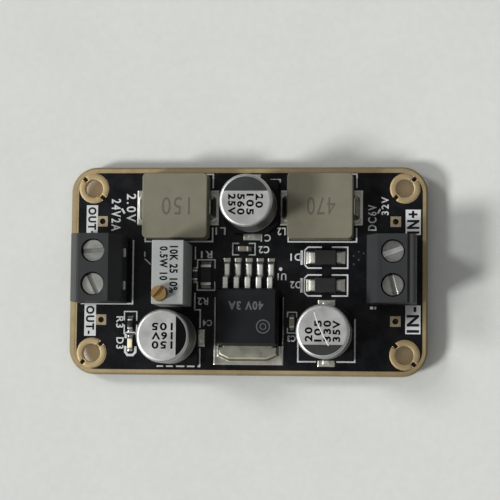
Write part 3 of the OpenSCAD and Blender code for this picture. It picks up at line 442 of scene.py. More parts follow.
finish("mould_compound", tone(20, 21, 23), tone(28, 29, 31), (0.5, 0.62), per_mm=12.0, relief=0.006,
       Specular_IOR_Level=0.12)
finish("diode_mould", tone(27, 27, 27), tone(36, 36, 35), (0.45, 0.6), per_mm=12.0, relief=0.006,
       Specular_IOR_Level=0.25)
finish("tan_ceramic", tone(136, 129, 105), tone(154, 147, 123), (0.35, 0.5))
finish("resistor_film", tone(20, 20, 22), tone(30, 30, 32), (0.28, 0.42))
finish("lamp_base", tone(222, 212, 176), tone(236, 228, 198), (0.45, 0.6))
finish("lamp_lens", tone(246, 236, 190), tone(252, 245, 214), (0.2, 0.3), relief=0.0, Coat_Weight=0.3)
print(len(finishes), "finishes")


# %% [markdown]
# Some finishes change over one piece, as painted light. A can's wall is painted darker than its top as
# painted shade, the tab's front edge is painted bright and a little yellow as a painted highlight, and the
# outer ledge of each terminal block is painted lighter as a painted highlight. Each could be a material of
# its own on some faces, but then the tones would meet in a hard line. So a second tone is mixed in where the
# surface faces a certain way, or lies beyond a certain place. One node group gives the mask for both: it
# takes a direction or a place, and says how far that reaches along an axis, between a start and an end.

# %% A mask that reaches along an axis
reach_group, reach_in, reach_out = effect(
    "reach_along", {"Vector": (0.0, 0.0, 0.0), "Along": (0.0, 0.0, 1.0), "Start": 0.0, "End": 1.0}, ["Mask"]
)
reach_dot = add(reach_group, "VectorMath", "DOT_PRODUCT")
reach_fade = add(reach_group, "MapRange")
reach_group.links.new(reach_in.outputs["Vector"], reach_dot.inputs[0])
reach_group.links.new(reach_in.outputs["Along"], reach_dot.inputs[1])
reach_group.links.new(reach_dot.outputs["Value"], reach_fade.inputs["Value"])
reach_group.links.new(reach_in.outputs["Start"], reach_fade.inputs["From Min"])
reach_group.links.new(reach_in.outputs["End"], reach_fade.inputs["From Max"])
reach_group.links.new(reach_fade.outputs["Result"], reach_out.inputs["Mask"])
print("effect:", reach_group.name)


# %% [markdown]
# With that mask, a painted tone of light or shade takes one line for each finish. It is measured either by
# where the surface faces or by its place in millimetres. The same line then does for metal and for plastic.

# %% Painted light and shade where it is needed
RIGHT, LEFT, BACK, UP = (1, 0, 0), (-1, 0, 0), (0, 1, 0), (0, 0, 1)


def facing(tree):
    return add(tree, "NewGeometry").outputs["Normal"]


def painted_light_tone(name, measure, along, start, end, colour):
    """Mixes painted light or shade in: all of it where the measure is below the start, none past the end."""
    tree = finishes[name].node_tree
    reach = place_group(tree, reach_group, Along=along, Start=start, End=end)
    tree.links.new(measure(tree), reach.inputs["Vector"])
    base = tree.nodes["Principled BSDF"].inputs["Base Color"]
    tree.links.new(blend_tones(tree, reach.outputs["Mask"], colour, base.links[0].from_socket), base)


WALL_FACES = (0.1, 0.5)            # a can's wall faces less than this far up
FRONT_FACES = (-0.5, -0.2)         # the tab's front edge faces this far away from the back
# Painted highlight: the outer ledge of each terminal block is painted lighter over this width.
LEDGE, LEDGE_FADE = 0.95, 0.1      # the width of the rubbed ledge, and of its soft edge
left_ledge = span("output_terminal_housing")[0].x + LEDGE
right_ledge = span("input_terminal_housing")[1].x - LEDGE
# Painted shade: the can's wall, which faces sideways, is painted darker than its top.
painted_light_tone("can_aluminium", facing, UP, *WALL_FACES, tone(132, 133, 134))
# Painted highlight: the tab's front edge is painted bright and a little yellow.
painted_light_tone("tab_copper", facing, BACK, *FRONT_FACES, tone(254, 249, 216))
# Painted highlight on the outer ledges of the output and the input block.
painted_light_tone("housing_plastic", millimetres, RIGHT, left_ledge, left_ledge + LEDGE_FADE, tone(80, 81, 80))
painted_light_tone("housing_plastic", millimetres, LEFT, -right_ledge, LEDGE_FADE - right_ledge, tone(72, 73, 72))
print("second tones on the cans, the tab and the terminal blocks")


# %% [markdown]
# New pieces all go through one function: it makes the object in the frame's own coordinates, gives it its
# finish, and lets it ride on a body of the CAD model. Writing these lines out for each piece would work as
# well, but one of them is soon forgotten.

# %% Making a piece
CREASE = math.radians(38)          # faces that meet at more than this stay sharp


def piece(name, mesh, material, body="board", stands_for=()):
    """A mesh in millimetres becomes a piece that rides on a body."""
    bmesh.ops.scale(mesh, vec=(MM, MM, MM), verts=mesh.verts)
    bmesh.ops.recalc_face_normals(mesh, faces=mesh.faces)
    data = bpy.data.meshes.new(name)
    mesh.to_mesh(data)
    mesh.free()
    data.shade_smooth()
    data.set_sharp_from_angle(angle=CREASE)
    data.materials.append(finishes[material])
    made = bpy.data.objects.new(name, data)
    scene.collection.objects.link(made)
    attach(made, body)
    if stands_for:
        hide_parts(*stands_for)
    return made


# %% [markdown]
# Real parts have no knife edges: moulds leave a radius, and punched metal has a rounded side. A bevel
# modifier on the CAD node would be the short way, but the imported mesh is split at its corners. So a rounded
# copy of a node joins the split corners, melts its flat facets together and bevels the edges that are left.
# The copy stands for the node, and a weighted normal keeps the flat faces flat.

# %% Rounded copies of the solids
FLAT = math.radians(1)             # faces that meet at less than this are one face
EDGE = math.radians(25)            # edges that are sharper than this get a radius


def rounded(node, radius, material, steps=2, body="board", shortest=0.0):
    """A copy that stands for a node, with a radius on the edges that are longer than the shortest, in mm."""
    mesh = bmesh.new()
    mesh.from_mesh(nodes[node].data)
    bmesh.ops.scale(mesh, vec=(1 / MM, 1 / MM, 1 / MM), verts=mesh.verts)
    bmesh.ops.remove_doubles(mesh, verts=mesh.verts, dist=SAME_POINT)
    bmesh.ops.dissolve_limit(mesh, angle_limit=FLAT, verts=mesh.verts, edges=mesh.edges)
    edges = [e for e in mesh.edges
             if len(e.link_faces) == 2 and e.calc_face_angle() > EDGE and e.calc_length() > shortest]
    bmesh.ops.bevel(mesh, geom=edges, offset=radius, segments=steps, affect="EDGES", profile=0.5,
                    clamp_overlap=True)
    made = piece(node + "_soft", mesh, material, body, [node])
    made.modifiers.new("flat_faces", "WEIGHTED_NORMAL").keep_sharp = True
    return made


# %% [markdown]
# Most parts take one radius for all their edges. The regulator's tab and leads are rounder, since they were
# punched and bent. The rims of the screw wells are moulded sharp, so the short edges of their circles are
# left out. The tails of the input block's contacts are cut flush with its back. One radius for everything
# would be shorter, but the light along the edges is what tells pressed powder from moulded plastic, so a
# table gives each material its own.

# %% Moulded and pressed parts
TINNED = ("_terminals", "diode_leads", "_ends", "_contacts")
SOFT = {
    "iron_powder": (0.1, ["output_inductor_body", "input_inductor_body"]),
    "mould_compound": (0.1, ["regulator_body"]),
    "diode_mould": (0.1, ["upper_diode_body", "lower_diode_body"]),
    "trimmer_plastic": (0.12, ["trimmer_housing"]),
    "base_plastic": (0.12, ["output_capacitor_base", "input_capacitor_base", "middle_capacitor_base"]),
    "tan_ceramic": (0.05, ["upper_chip_capacitor_body", "input_chip_capacitor_body"]),
    "resistor_film": (0.04, ["large_resistor_body", "feedback_resistor_body", "lamp_resistor_body"]),
    "lamp_base": (0.03, ["lamp_base"]),
    "lamp_lens": (0.08, ["lamp_lens"]),
    "tinned_copper": (0.08, [n for n in nodes if n.endswith(TINNED)]),
}
TAB_ROUND, LEAD_ROUND, HOUSING_ROUND = 0.3, 0.17, 0.12
WELL_EDGE = 0.5                    # the edges in the circle of a screw well are shorter than this
TAIL_END, TAIL_SHORTER = 0.12, 0.3
soft_parts = []
for material, (radius, names) in SOFT.items():
    soft_parts += [rounded(name, radius, material) for name in names]
soft_parts.append(rounded("regulator_tab", TAB_ROUND, "tab_copper", steps=3))
soft_parts.append(rounded("regulator_leads", LEAD_ROUND, "lit_lead_tin", steps=3))
for name in ("output_terminal_housing", "input_terminal_housing"):
    soft_parts.append(rounded(name, HOUSING_ROUND, "housing_plastic", shortest=WELL_EDGE))
tails = span("input_contacts")[0].x + TAIL_END
for vert in bpy.data.objects["input_contacts_soft"].data.vertices:
    if vert.co.x < tails * MM:
        vert.co.x += TAIL_SHORTER * MM
print(len(soft_parts), "rounded parts")


# %% [markdown]
# A clamp screw's head is faced off by a straight cut in the same pass as its slot, so the tool marks run
# along the slot. One steel for all four would show its lines across some slots, so each screw gets its own
# finish, brushed in the direction in which its slot stands. The input block's heads are painted darker as
# painted shade. Deeper down, two slots are painted with shade and one with a highlight; one is left as is.

# %% Screws
# The tone in a slot is painted shade or a painted highlight, full from SLOT_DARK deep.
SLOT_DARK, SLOT_EDGE = 0.4, 0.08   # the slot's own tone is full this deep down, and starts this deep
TONE_STEP = 32                     # from a steel's darker tone to its lighter one
LESS_BLUE = 5                      # steel is a little warmer than grey
HEAD_ROUND, TRIMMER_ROUND = 0.08, 0.07
# The slot's turn in degrees, the head's level, lower on the input side as painted shade, and the slot's level
SCREWS = {
    "output_positive_screw": (4, 176, 172), "output_negative_screw": (115, 176, 176),
    "input_positive_screw": (20, 148, 254), "input_negative_screw": (104, 158, 152),
}


def steel(level):
    return tone(level, level, level - LESS_BLUE)


for name, (turn, level, painted_slot_level) in SCREWS.items():
    metallic(name + "_steel", steel(level), steel(level + TONE_STEP), (0.3, 0.38), per_mm=7.0, relief=0.0015,
             brushed=-turn)
    head = span(name)[1].z
    # Painted shade, or a painted highlight, in the slot below the head's top.
    painted_light_tone(name + "_steel", millimetres, UP, head - SLOT_DARK, head - SLOT_EDGE, steel(painted_slot_level))
    rounded(name, HEAD_ROUND, name + "_steel", body=name)
rounded("trimmer_screw", TRIMMER_ROUND, "brass_screw", body="trimmer_screw")
print(len(SCREWS), "clamp screws and the trimmer's")


# %% [markdown]
# Some solids are right as they are, such as the drawn cans and the plated holes. A copy of them would add
# nothing, so they keep their CAD shape and only get a finish.

# %% CAD nodes that stay
STAYS = {
    "bare_laminate": ["circuit_board"],
    "rim_gold": ["edge_rim"],
    "lit_hole_gold": ["mounting_pads"],
    "pale_gold": ["wire_pads"],
    "solder": ["component_lands", "pin_solder"],
    "can_aluminium": [n for n in nodes if n.endswith("_can")],
    "tinned_copper": ["trimmer_pins"] + [n for n in nodes if n.endswith("_cage")],
}
for material, names in STAYS.items():
    for name in names:
        for holder in nodes[name].material_slots:
            holder.material = finishes[material]
print(sum(map(len, STAYS.values())), "CAD nodes keep their shape")


# %% [markdown]
# Mask, ink and labels are thin sheets cut from flat outlines. They could be cut with booleans, but Blender
# fills a flat curve by itself and leaves out every loop that lies inside another. So a sheet with holes, a
# letter with its counter and a label with its letters knocked out are all made by the same few lines.

# %% Thin sheets from outlines
def sheet(loops, low, high):
    """A mesh, in millimetres, that fills flat loops between two heights. Loops inside others are holes."""
    curve = bpy.data.curves.new("outline", "CURVE")
    curve.dimensions = "2D"
    curve.fill_mode = "BOTH"
    curve.extrude = (high - low) / 2
    for loop in loops:
        spline = curve.splines.new("POLY")
        spline.points.add(len(loop) - 1)
        spline.points.foreach_set("co", [c for p in loop for c in (p[0], p[1], 0.0, 1.0)])
        spline.use_cyclic_u = True
    holder = bpy.data.objects.new("outline", curve)
    scene.collection.objects.link(holder)
    filled = bpy.data.meshes.new_from_object(holder.evaluated_get(bpy.context.evaluated_depsgraph_get()))
    bpy.data.objects.remove(holder)
    mesh = bmesh.new()
    mesh.from_mesh(filled)
    bpy.data.meshes.remove(filled)
    bmesh.ops.remove_doubles(mesh, verts=mesh.verts, dist=SAME_POINT)
    bmesh.ops.translate(mesh, vec=(0, 0, (low + high) / 2), verts=mesh.verts)
    return mesh


def ring(x, y, radius, points=48):
    angles = [2 * math.pi * i / points for i in range(points)]
    return [(x + radius * math.cos(a), y + radius * math.sin(a)) for a in angles]


def round_rectangle(half_x, half_y, radius, points=12):
    loop = []
    for quarter, (sx, sy) in enumerate(((1, 1), (-1, 1), (-1, -1), (1, -1))):
        x, y = sx * (half_x - radius), sy * (half_y - radius)
        for i in range(points + 1):
            a = math.pi / 2 * (quarter + i / points)
            loop.append((x + radius * math.cos(a), y + radius * math.sin(a)))
    return loop


CORNER = 4.0
UNDER_EDGE = 0.2           # the mask on the underside stops this far from the board's edge
board_half = span("circuit_board")[1]
under_edge = round_rectangle(board_half.x - UNDER_EDGE, board_half.y - UNDER_EDGE, CORNER - UNDER_EDGE)
print(len(under_edge), "points around the underside")


# %% [markdown]
# The black mask is a coat of lacquer, 20 micrometres thick, on both faces of the laminate. It could be a
# dark patch in the laminate's material, but as a sheet it has a real edge. On top it ends at the bare gold
# rim, and it was printed a little off centre, so the gold is wider on the left and a strip of plating shows
# there beside the rim.

# %% Black mask on both faces
MASK, PLATING = 0.02, 0.01         # thickness
RIM = 0.8
MASK_SHIFT = (0.16, -0.05)
MASK_HOLES = {"mounting_pads": 1.6, "wire_pads": 0.55}
PIN_LAP, RIM_LAP = 0.05, 0.05      # the mask's lap over a solder cone, and the plating's under the rim
UNDER_MASK = 0.998                 # the plating ends under the mask: its edge is this much smaller
MASK_TOP = BOARD_TOP + MASK
holes = []
for name, radius in MASK_HOLES.items():
    holes += [ring((low.x + high.x) / 2, (low.y + high.y) / 2, radius) for low, high in solids(name)]
pin_holes = [ring((low.x + high.x) / 2, (low.y + high.y) / 2, (high.x - low.x) / 2 - PIN_LAP)
             for low, high in solids("pin_solder")]
off_x, off_y = MASK_SHIFT
mask_edge = round_rectangle(board_half.x - RIM - off_x, board_half.y - RIM + off_y, CORNER - RIM)
mask_edge = [(x + off_x, y + off_y) for x, y in mask_edge]
piece("mask_top", sheet([mask_edge] + holes, BOARD_TOP, MASK_TOP), "black_mask")
plated = round_rectangle(board_half.x - RIM + RIM_LAP, board_half.y - RIM + RIM_LAP, CORNER - RIM)
inside = [(x * UNDER_MASK, y * UNDER_MASK) for x, y in mask_edge]
piece("gold_at_mask", sheet([plated, inside], BOARD_TOP, BOARD_TOP + PLATING), "rim_gold")
piece("mask_underside", sheet([under_edge] + holes + pin_holes, -MASK, 0.0), "black_mask")
print("mask with", len(holes), "openings on top")


# %% [markdown]
# The mounting pads were levelled with molten metal before plating, so each half ring is a low cushion with
# blunt ends. A torus squeezed flat comes near, but its section is too round. So it is lofted: rows of
# points across the ring, at stations along the arc, which get narrow at both ends.

# %% The shape of a cushion
BLUNT = 0.7                # an end keeps this share of the width and height


def half_ring(mesh, centre, inner, outer, start, end, height, stations=44, across=8, tip=0.15):
    """Adds a domed part of a ring between two angles to a mesh, closed by a flat bottom on the board."""
    mid, half = (inner + outer) / 2, (outer - inner) / 2
    rows = []
    for i in range(stations + 1):
        angle = start + (end - start) * i / stations
        from_end = min(1.0, max(0.0, mid / tip * min(angle - start, end - angle)))
        narrow = max(BLUNT, math.sqrt(1 - (1 - from_end) ** 2))
        row = []
        for j in range(across + 1):
            u = math.cos(math.pi * (1 - j / across))
            radius = mid + half * narrow * u
            place = (centre.x + radius * math.cos(angle), centre.y + radius * math.sin(angle))
            row.append(mesh.verts.new((*place, BOARD_TOP + height * narrow * (1 - u ** 4) ** 0.5)))
        rows.append(row)
    for here, there in zip(rows, rows[1:]):
        for j in range(across):
            mesh.faces.new((here[j], here[j + 1], there[j + 1], there[j]))
        mesh.faces.new((here[0], there[0], there[-1], here[-1]))
    mesh.faces.new(rows[0])
    mesh.faces.new(rows[-1][::-1])


pads = solids("mounting_pads")
print(len(pads), "mounting pads,", round(pads[0][1].x - pads[0][0].x, 2), "mm across")


# %% [markdown]
# Two slits part each ring, in line with the board's corner, and black mask fills them. They could be cut
# out of the plating, but that is a CAD solid and stays whole, so short bars of mask are laid over it. A bar
# is the mitred outline of a path, which the lines of ink below use too.

# %% Cushions and slits
MITRE = 0.4                # keeps the mitre of a sharp corner short


def stroke(path, width):
    """The outline of a line along a path, with mitred corners."""
    path = [Vector(p) for p in path]
    ways = [(end - start).normalized() for start, end in zip(path, path[1:])]
    left, right = [], []
    for point, behind, ahead in zip(path, ways[:1] + ways, ways + ways[-1:]):
        along = (ahead + behind).normalized()
        side = Vector((-along.y, along.x)) * (width / 2 / max(MITRE, along.dot(ahead)))
        left.append(point + side)
        right.append(point - side)
    return left + right[::-1]


HOLE_R = 1.5
LIP = 0.17                 # the cushion rolls this far over the edge of the hole
CUSHION = 0.12             # height over the board
SLIT = 0.6
SLIT_AT = HOLE_R + 0.4     # the radius at which the slit has that width
SLIT_START = HOLE_R + 0.08
SLIT_LIFT = 0.01           # the mask lies this far over the plating
cushions = bmesh.new()
slit_bars = []
for low, high in pads:
    centre = (low + high) / 2
    pad_r = (high.x - low.x) / 2
    slit_turn = math.atan2(math.copysign(1, centre.y), math.copysign(1, centre.x))
    out = Vector((math.cos(slit_turn), math.sin(slit_turn)))
    back = SLIT / 2 / SLIT_AT
    for way in (1, -1):
        bar = [centre.to_2d() + way * out * reach for reach in (SLIT_START, pad_r)]
        slit_bars.append(stroke(bar, SLIT))
    for turn in (slit_turn, slit_turn + math.pi):
        half_ring(cushions, centre, HOLE_R - LIP, pad_r, turn + back, turn + math.pi - back, CUSHION)
piece("mounting_pad_tops", cushions, "pad_gold")
slit_top = span("mounting_pads")[1].z + SLIT_LIFT
piece("mask_in_slits", sheet(slit_bars, BOARD_TOP, slit_top), "black_mask")
print(len(slit_bars), "slits on", len(pads), "pads")


# %% [markdown]
# Solder wets every land out to its edges and climbs whatever metal stands on it, in a hollow curve that is
# steep at the metal and flat at the rim. First the metal on the lands is noted, with how high and how far
# out the solder climbs it. The list comes from the nodes' names, so a part that is added gets its solder
# too.

# %% What stands on the lands
LOW_METAL = 0.3                    # a terminal that is lower than this is wetted nearly to its top
WETS_LOW, WETS_TALL = 0.85, 0.6    # the share of its height that the solder climbs
REACH, REACH_BY_HEIGHT = 0.35, 0.35
LEAD_FOOT = 1.74                   # the length of a regulator lead's foot
TAB_CUT = (1.5, 0.7)               # the cut corners of the tab
BODY_INSET, MOULD_INSET = 0.03, 0.45
DRY_INSIDE, DRY_OUTSIDE = 0.5, 0.35    # the solder stops short of the regulator's right side
metals = []


def stands(low, high, climb, reach, power, cut=None, bare=True):
    """Notes a piece of metal on a land: how high, how far out and how hollow the solder climbs it."""
    metals.append(dict(box=(low, high), climb=climb, reach=reach, power=power, cut=cut, bare=bare))


for name in nodes:
    if name.endswith(("_terminals", "_ends")):
        for low, high in solids(name):
            tall = high.z - low.z
            wets = WETS_LOW if tall < LOW_METAL else WETS_TALL
            stands(low, high, climb=wets * tall, reach=REACH + REACH_BY_HEIGHT * tall, power=1.4)
    elif name.endswith("_diode_leads"):
        for low, high in solids(name):
            stands(low, high, climb=0.19, reach=0.68, power=1.2)
for low, high in solids("regulator_leads"):
    foot = Vector((low.x, high.y - LEAD_FOOT, low.z))
    stands(foot, high, climb=0.42, reach=0.7, power=1.6, bare=False)
stands(*span("regulator_tab"), climb=0.6, reach=0.4, power=1.5, cut=TAB_CUT)
covers = []
for name in nodes:
    if name.endswith(("_body", "_base")):
        inset = Vector((1, 1, 0)) * (MOULD_INSET if name == "regulator_body" else BODY_INSET)
        low, high = span(name)
        covers.append((low + inset, high - inset))
low, high = span("regulator_body")
covers.append((Vector((high.x - DRY_INSIDE, low.y, low.z)), Vector((high.x + DRY_OUTSIDE, high.y, high.z))))
print(len(metals), "pieces of metal for the solder to climb")


# %% [markdown]
# Metaballs would flow together like solder, but they don't keep to the edges of a land. So a pool's height
# is worked out point by point: it is the low dome of the bare solder, or the climb against the nearest
# metal where that is higher, and nothing under a part's own body.

# %% The height of a pool
POOL_EDGE = 0.16           # the rim of a pool is rounded over this width
POOL_DOME = 0.09           # the height of bare solder
POOL_SHARE = 0.1           # and at most this share of the land's shorter side
UNDER = -0.03              # a point this far inside a box is under it


def meet(a, b):
    return a[0].x < b[1].x and b[0].x < a[1].x and a[0].y < b[1].y and b[0].y < a[1].y


def outside(box, x, y, cut=None):
    """How far a point lies outside a box in plan, below zero inside. A cut takes the near corners off."""
    low, high = box
    out_x, out_y = max(low.x - x, x - high.x), max(low.y - y, y - high.y)
    gap = math.hypot(max(out_x, 0), max(out_y, 0)) + min(max(out_x, out_y), 0)
    if cut:
        gap = max(gap, ((out_x + cut[0]) * cut[1] + (low.y - y) * cut[0]) / math.hypot(*cut))
    return gap


def pool_height(land, x, y, near, over):
    low, high = land
    rim = min(1.0, min(x - low.x, high.x - x, y - low.y, high.y - y) / POOL_EDGE)
    gaps = [(outside(metal["box"], x, y, metal["cut"]), metal) for metal in near]
    under_part = any(outside(box, x, y) < UNDER for box in over)
    if under_part or any(gap < UNDER for gap, metal in gaps if metal["bare"]):
        return 0.0
    level = min(POOL_DOME, POOL_SHARE * min(high.x - low.x, high.y - low.y))
    for gap, metal in gaps:
        level = max(level, metal["climb"] * max(0.0, 1 - max(gap, 0) / metal["reach"]) ** metal["power"])
    return level * (1 - (1 - rim) ** 2)


print(sum(any(meet(metal["box"], land) for metal in metals) for land in lands), "lands carry metal")


# %% [markdown]
# A pool is then a grid over its land, lifted to that height and closed down to the board by a skirt and a
# bottom. All pools are one piece, since they are all one metal. A plane with a displacement could give the
# same top, but it has no sides to catch the light.

# %% Solder pools
def pool(mesh, land, step=0.11):
    """Adds the solder on one land to a mesh, closed down to the board."""
    low, high = land
    near = [metal for metal in metals if meet(metal["box"], land)]
    over = [box for box in covers if meet(box, land)]
    cols, rows = (max(5, round(size / step)) for size in (high.x - low.x, high.y - low.y))
    grid = []
    for j in range(rows + 1):
        y = low.y + (high.y - low.y) * j / rows
        xs = [low.x + (high.x - low.x) * i / cols for i in range(cols + 1)]
        grid.append([mesh.verts.new((x, y, high.z + pool_height(land, x, y, near, over))) for x in xs])
    for j in range(rows):
        for i in range(cols):
            mesh.faces.new((grid[j][i], grid[j][i + 1], grid[j + 1][i + 1], grid[j + 1][i]))
    rim = grid[0] + [row[-1] for row in grid[1:]] + grid[-1][-2::-1] + [row[0] for row in grid[-2:0:-1]]
    foot = [mesh.verts.new((v.co.x, v.co.y, BOARD_TOP)) for v in rim]
    for i in range(len(rim)):
        j = (i + 1) % len(rim)
        mesh.faces.new((rim[i], foot[i], foot[j], rim[j]))
    mesh.faces.new(foot[::-1])


pools = bmesh.new()
for land in lands:
    pool(pools, land)
print(len(lands), "pools,", len(pools.faces), "faces")
piece("solder_pools", pools, "solder")


# %% [markdown]
# The white ink on the board is screen printed. The lines around the inductors leave a gap for the
# terminals, and the ones at the terminal blocks show where they stand. Ink could be a mask in the board's
# material, but that takes an image or many nodes, and a thin sheet keeps its sharp edge from close by.

# %% Outlines around the inductors and the terminal blocks
INK = 0.015                # thickness
INK_TOP = MASK_TOP + INK
LINE = 0.22                # width
TERMINAL_GAP = 3.05        # from the middle of an inductor's side to the end of its outline
GAP_LEFT, GAP_RIGHT, GAP_SIDES = 0.05, 0.4, 0.2
BLOCK_REAR = 0.92          # from the back of the output block to the line behind it
MARKS = ((0.35, 0.85), (1.05, 1.3))
MARK_LOW, MARK_WIDTH = -0.45, 0.4
lines = []


def printed(origin, path, width=LINE):
    """Adds a line of ink along a path that is given from a part's corner or middle."""
    lines.append(stroke([(origin.x + x, origin.y + y) for x, y in path], width))


for name in ("output_inductor_body", "input_inductor_body"):
    low, high = span(name)
    mid_y = (low.y + high.y) / 2
    x0, x1 = low.x - GAP_LEFT, high.x + GAP_RIGHT
    for side, edge in ((-1, low.y - GAP_SIDES), (1, high.y + GAP_SIDES)):
        stop = mid_y + side * TERMINAL_GAP
        lines.append(stroke([(x0, stop), (x0, edge), (x1, edge), (x1, stop)], LINE))
low, high = span("output_terminal_housing")
block = high - low
rear = block.x + BLOCK_REAR
printed(low, [(0.3, -0.03), (rear, -0.03), (rear, block.y - 0.4)])
low, high = span("input_terminal_housing")
for start, end in MARKS:
    printed(low, [(start, MARK_LOW), (end, MARK_LOW)], MARK_WIDTH)
print(len(lines), "lines of ink")


# %% [markdown]
# A diode's outline has two cut corners and a bar at its cathode, and a can's outline follows the corners of
# its base. Both are drawn from the middle of the part, in its own direction. They could be traced as points
# on the board, but drawn like this they follow a part that moves.

# %% Outlines around the diodes and the cans
DIODE_LEFT, DIODE_RIGHT, DIODE_SIDE, DIODE_CUT = -3.25, 3.32, 1.6, 0.5
OPEN_LEFT, OPEN_RIGHT = -0.62, 0.9     # between these the long sides of a diode's outline are open
CATHODE_BAR, BAR_HALF, BAR_WIDTH = DIODE_LEFT - 0.46, 1.1, 0.34
APART = 0.02               # lines that cross would cancel each other in the fill, so they end this far apart
CAN_HALF, PAD_GAP = 4.33, 1.55
for name in ("upper_diode_body", "lower_diode_body"):
    c = middle(name)
    cut = DIODE_SIDE - DIODE_CUT
    for y, turn_y in ((DIODE_SIDE, cut), (-DIODE_SIDE, -cut)):
        printed(c, [(OPEN_LEFT, y), (DIODE_LEFT + DIODE_CUT, y), (DIODE_LEFT, turn_y)])
    upper = [(OPEN_RIGHT, DIODE_SIDE), (DIODE_RIGHT, DIODE_SIDE)]
    printed(c, upper + [(x, -y) for x, y in reversed(upper)])
    printed(c, [(DIODE_LEFT, APART - cut), (DIODE_LEFT, cut - APART)])
    printed(c, [(CATHODE_BAR, -BAR_HALF), (CATHODE_BAR, BAR_HALF)], BAR_WIDTH)
# The base, the turn of its open side, and where its two lines start
CAN_LINES = [("output_capacitor_base", 0, (3.4, 4.0)), ("input_capacitor_base", -90, (-2.2, -2.2))]
for name, turn, starts in CAN_LINES:
    spin = Matrix.Rotation(math.radians(turn), 2)
    for s, start in zip((1, -1), starts):
        corner = [(start, s * CAN_HALF), (CAN_HALF, s * CAN_HALF), (CAN_HALF, s * PAD_GAP)]
        printed(middle(name), [spin @ Vector(p) for p in corner])
DASHES = ((-2.3, -1.3), (-0.85, 0.2), (0.7, 2.0), (2.4, 3.55))
for start, end in DASHES:
    printed(middle("output_capacitor_base"), [(start, -CAN_HALF), (end, -CAN_HALF)])
print(len(lines), "lines of ink")


# %% [markdown]
# The chips have a bracket at each end, the lamp stands in a cup that shows its direction, and the trimmer
# has a few short lines at its corners. A round dot marks the regulator's first lead. Covered vias show as
# faint dots. The brackets could be drawn one by one, but they differ only in their sizes, so a table and a
# loop make them all.

# %% Outlines around the chips, the lamp and the trimmer
THIN, THICK = LINE * 0.8, 0.36
DIVIDER = 0.34             # the line between the lamp and its resistor
# The chip, half the width and half the height of its outline, half the gap between the brackets, and a shift
CHIP_LINES = [
    ("upper_chip_capacitor_body", 1.72, 0.88, 0.75, 0.0), ("input_chip_capacitor_body", 0.7, 1.58, 0.82, 0.0),
    ("large_resistor_body", 1.35, 2.33, 1.0, 0.0), ("lamp_resistor_body", 0.96, 1.7, 0.32, 0.2),
]
for name, half_x, half_y, gap, shift in CHIP_LINES:
    c = middle(name) + Vector((0, shift, 0))
    for s in (1, -1):
        if half_x > half_y:
            bracket = [(s * gap, -half_y), (s * half_x, -half_y), (s * half_x, half_y), (s * gap, half_y)]
        else:
            bracket = [(-half_x, s * gap), (-half_x, s * half_y), (half_x, s * half_y), (half_x, s * gap)]
        printed(c, bracket, THIN)
lamp = middle("lamp_base")
printed(lamp, [(-0.75, 1.55), (0.75, 1.55)], DIVIDER)
cup = [(-0.76, -0.45), (-0.76, -1.35), (-0.42, -1.82), (0.42, -1.82), (0.82, -1.35), (0.82, -0.5)]
printed(lamp, cup, THICK)
printed(lamp, [(-0.72, 1.36), (-0.72, 0.75)], THICK)
FIRST_LEAD, FIRST_LEAD_R = (5.08, 0.3), 0.27
lines.append(ring(*FIRST_LEAD, FIRST_LEAD_R, points=20))
CAN_CORNER = [(3.41, 14.05), (4.9, 14.05), (4.9, 13.55)]
lines.append(stroke(CAN_CORNER, LINE))
trim_low, trim_high = span("trimmer_housing")
printed(Vector((trim_high.x, trim_low.y)), [(0.46, -0.2), (0.46, 2.2)], THIN)
printed(trim_high, [(0.46, -0.2), (0.46, -2.2)], THIN)
left_corner = Vector((trim_low.x, trim_high.y))
printed(left_corner, [(-2.6, -1.0), (-2.6, -1.8)], THIN)
printed(left_corner, [(-2.6, -2.1), (-1.6, -3.0)], THIN)
piece("printed_outlines", sheet(lines, MASK_TOP, INK_TOP), "white_ink")
VIA_R = 0.14
VIAS = [(16.2, 2.35), (17.0, 3.0), (17.0, 1.75), (17.75, 2.75), (16.25, 1.1)]
vias = [ring(x, y, VIA_R, points=12) for x, y in VIAS]
piece("covered_vias", sheet(vias, MASK_TOP, INK_TOP), "covered_via")
print(len(lines), "lines of ink,", len(vias), "covered vias")


# %% [markdown]
# Ink spreads a little when it is printed, so letters come out bolder than they were drawn. A font object has
# an offset for that, but here letters are stretched to fit a box, and that would stretch the offset too. So
# the outlines are moved outward point by point afterwards, and the counters inside them inward.

# %% Bolder letters
LETTER_MITRE = 0.5         # keeps the corners of a bold letter short


def fatten(loops, weight):
    """Moves outlines outward, and the counters inside them inward, to make letters bolder."""
    def area(loop):
        return sum(a.x * b.y - b.x * a.y for a, b in zip(loop, loop[1:] + loop[:1]))
    hand = math.copysign(1, area(max(loops, key=lambda loop: abs(area(loop)))))
    bold = []
    for loop in loops:
        moved = []
        for i, point in enumerate(loop):
            ahead = (loop[(i + 1) % len(loop)] - point).normalized()
            behind = (point - loop[i - 1]).normalized()
            along = (ahead + behind).normalized()
            step = hand * weight / max(LETTER_MITRE, along.dot(ahead))
            moved.append(point + Vector((along.y, -along.x)) * step)
        bold.append(moved)
    return bold


tile = [Vector(p) for p in ((0, 0), (1, 0), (1, 1), (0, 1))]
bolder = fatten([tile], 0.1)[0]
print("a tile of 1 mm with 0.1 mm more ink all around is", round(bolder[1].x - bolder[0].x, 2), "mm wide")


# %% [markdown]
# Words could be text objects, but those can't be cut out of a label. So the outlines of Blender's own
# letters are taken as loops of points, fitted to a box, turned and made bolder.

# %% Letters as outlines
CURVE_POINTS = 5           # points along each curve of a letter


